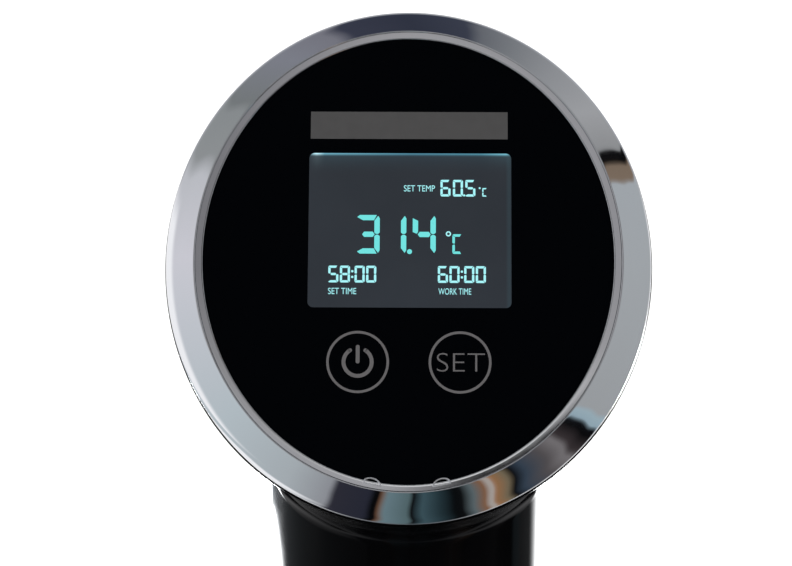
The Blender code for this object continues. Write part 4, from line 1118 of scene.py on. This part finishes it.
def room(sky):
    """The colour that a reflection finds in each direction."""
    right, up, out = sky.along((1, 0, 0)), sky.along(UP), sky.along(OUT)
    back, high = sky.along((0, 1, 0)), sky.along((0, 0, 1))
    # The camera stands a little below the face's normal, so reflections come from above it.
    lean = math.sin(FACE_TILT - EYE_RISE)
    across = sky.math("ADD", right, sky.ripple(1.4, 0.09))
    raised = sky.math("ADD", sky.math("SUBTRACT", up, lean), sky.ripple(1.7, 0.10))
    turn = sky.math("DIVIDE", sky.math("ARCTAN2", raised, across), math.pi)
    above = sky.ramp(turn, stops_of(ROOM_ABOVE, 180, 0))
    below = sky.ramp(sky.math("ADD", turn, 1.0), stops_of(ROOM_BELOW, 180, 1))
    seen = sky.mix(sky.math("GREATER_THAN", turn, 0.0), below, above)
    # The left of the room is white beyond the near wall.
    left = sky.both(sky.step(right, -0.45, -0.65), sky.step(out, -0.10, -0.35))
    left = sky.both(left, sky.step(high, -0.61, -0.55), sky.step(up, 0.42, 0.30))
    lower = sky.both(sky.step(right, -0.35, -0.55), sky.step(out, -0.35, -0.50))
    left = sky.math("MAXIMUM", left, sky.both(lower, sky.step(high, -0.67, -0.70)))
    seen = sky.mix(left, seen, (0.95, 0.95, 0.98))
    # Past the edge of the ring the bright background begins; above it is greyer.
    edge = sky.both(sky.step(out, -0.64, -0.76), sky.step(up, 0.42, 0.25))
    beyond = sky.math("MAXIMUM", sky.step(high, -0.67, -0.70), sky.step(high, -0.58, -0.52))
    aside = sky.step(sky.math("ABSOLUTE", right), 0.10, 0.45)
    bright = sky.mix(aside, srgb(120, 124, 130), (0.95, 0.95, 0.97))
    shade = sky.both(sky.step(back, 0.10, 0.25), sky.step(sky.math("ABSOLUTE", right), 0.48, 0.30))
    seen = sky.mix(sky.both(edge, beyond), seen, sky.mix(shade, bright, srgb(14, 15, 17)))
    top = sky.both(sky.step(out, -0.58, -0.74), sky.step(up, 0.30, 0.42))
    seen = sky.mix(top, seen, srgb(168, 170, 176))
    # Low behind the stick the table is bright: hard-edged on the left, fading on the right.
    low = sky.both(sky.step(high, -0.70, -0.67), sky.step(high, -0.56, -0.60))
    # The left border leans, so that the light narrows towards the head.
    reach = sky.math("SUBTRACT", back, sky.math("MULTIPLY", sky.math("ADD", high, 0.658), 10.0))
    lit_left = sky.both(low, sky.step(right, 0.0, -0.08), sky.step(reach, 0.56, 0.62))
    lit_left = sky.both(lit_left, sky.step(high, -0.675, -0.662))
    lit_right = sky.both(low, sky.step(right, 0.05, 0.15), sky.step(back, 0.42, 0.74))
    seen = sky.mix(lit_left, seen, (24.0, 24.4, 24.8))
    seen = sky.mix(lit_right, seen, (36.0, 36.4, 36.8))
    # Over the face it is dim, and straight in front of it the dark camera stands before a card.
    side = sky.mix(sky.step(right, -0.35, 0.35), srgb(166, 166, 169), srgb(152, 152, 156))
    dark = sky.both(sky.step(up, 0.40, 0.58), sky.step(right, 0.10, -0.22))
    over = sky.mix(dark, side, srgb(8, 8, 10))
    seen = sky.mix(sky.both(sky.step(out, 0.5, 0.6), sky.step(up, -0.2, 0.0)), seen, over)
    spread = sky.math("DIVIDE", sky.math("ADD", turn, 1.0), 2.0)
    card = sky.ramp(spread, stops_of(ROOM_FRONT, 360, 0.5))
    seen = sky.mix(sky.step(out, 0.74, 0.80), seen, card)
    mirrored = 2 * EYE.dot(OUT) * OUT - EYE
    return sky.mix(sky.step(sky.along(mirrored), 0.978, 0.986), seen, srgb(6, 6, 8))


def studio():
    sky = Sky()
    reflected = room(sky)
    glossy = sky.node("LightPath").outputs["Is Glossy Ray"]
    shown = sky.mix(glossy, (1.0, 1.0, 1.0), reflected)
    background = sky.node("Background", Color=shown).outputs["Background"]
    sky.node("OutputWorld", Surface=background)

    Look("floor_paper", (0.93, 0.93, 0.93), 0.9, ior=1.5)
    floor = box("floor", (-6, -6, -0.02), (6, 6, -0.0002), "floor_paper")
    floor.visible_glossy = False

    for name, at, size, power in (
        ("key_light", (-0.9, -0.9, 1.3), 0.9, 9.0),
        ("fill_light", (1.0, -0.5, 0.9), 0.9, 5.0),
        ("back_light", (0.2, 1.2, 1.1), 0.9, 6.0),
    ):
        light = bpy.data.lights.new(name, "AREA")
        light.size = size
        light.energy = power
        lamp = bpy.data.objects.new(name, light)
        lamp.location = at
        lamp.rotation_euler = (Vector((0, 0, 0.2)) - Vector(at)).to_track_quat("-Z", "Y").to_euler()
        lamp.visible_glossy = False
        bpy.context.scene.collection.objects.link(lamp)


ROLL = -0.28  # degrees that the camera leans


def camera():
    distance, focal = 0.473, 108.2
    eye_up = Vector((0, math.sin(EYE_RISE), math.cos(EYE_RISE)))
    data = bpy.data.cameras.new("camera")
    data.lens = focal
    data.sensor_width = 36
    data.clip_start = 0.01
    made = bpy.data.objects.new("camera", data)
    made.location = FACE + EYE * distance + Vector((4.0 * MM, 0, 0))
    aim = FACE + Vector((-2.4 * MM, 0, 0)) - eye_up * (4.9 * MM)
    look = (aim - made.location).to_track_quat("-Z", "Y")
    made.rotation_euler = (look @ Quaternion((0, 0, 1), math.radians(ROLL))).to_euler()
    bpy.context.scene.collection.objects.link(made)
    bpy.context.scene.camera = made
    bpy.context.scene.view_settings.view_transform = "Standard"


def finish_cad_nodes():
    """The inner parts keep their CAD shape and take a finished material."""
    for node, piece in frame["nodes"].items():
        if piece.hide_render:
            continue
        piece.data.materials.clear()
        piece.data.materials.append(Look.made[SLOT_OF[node]])


def main():
    camera()
    plastics()
    metals()
    display_looks()
    head_front()
    display()
    printed_marks()
    housing()
    rear_cover()
    cord_gland()
    screws()
    collar()
    sleeve()
    bottom_cap()
    heater()
    clip_bracket()
    clip_lever()
    clip_spring()
    clip_pin()
    finish_cad_nodes()
    studio()


main()
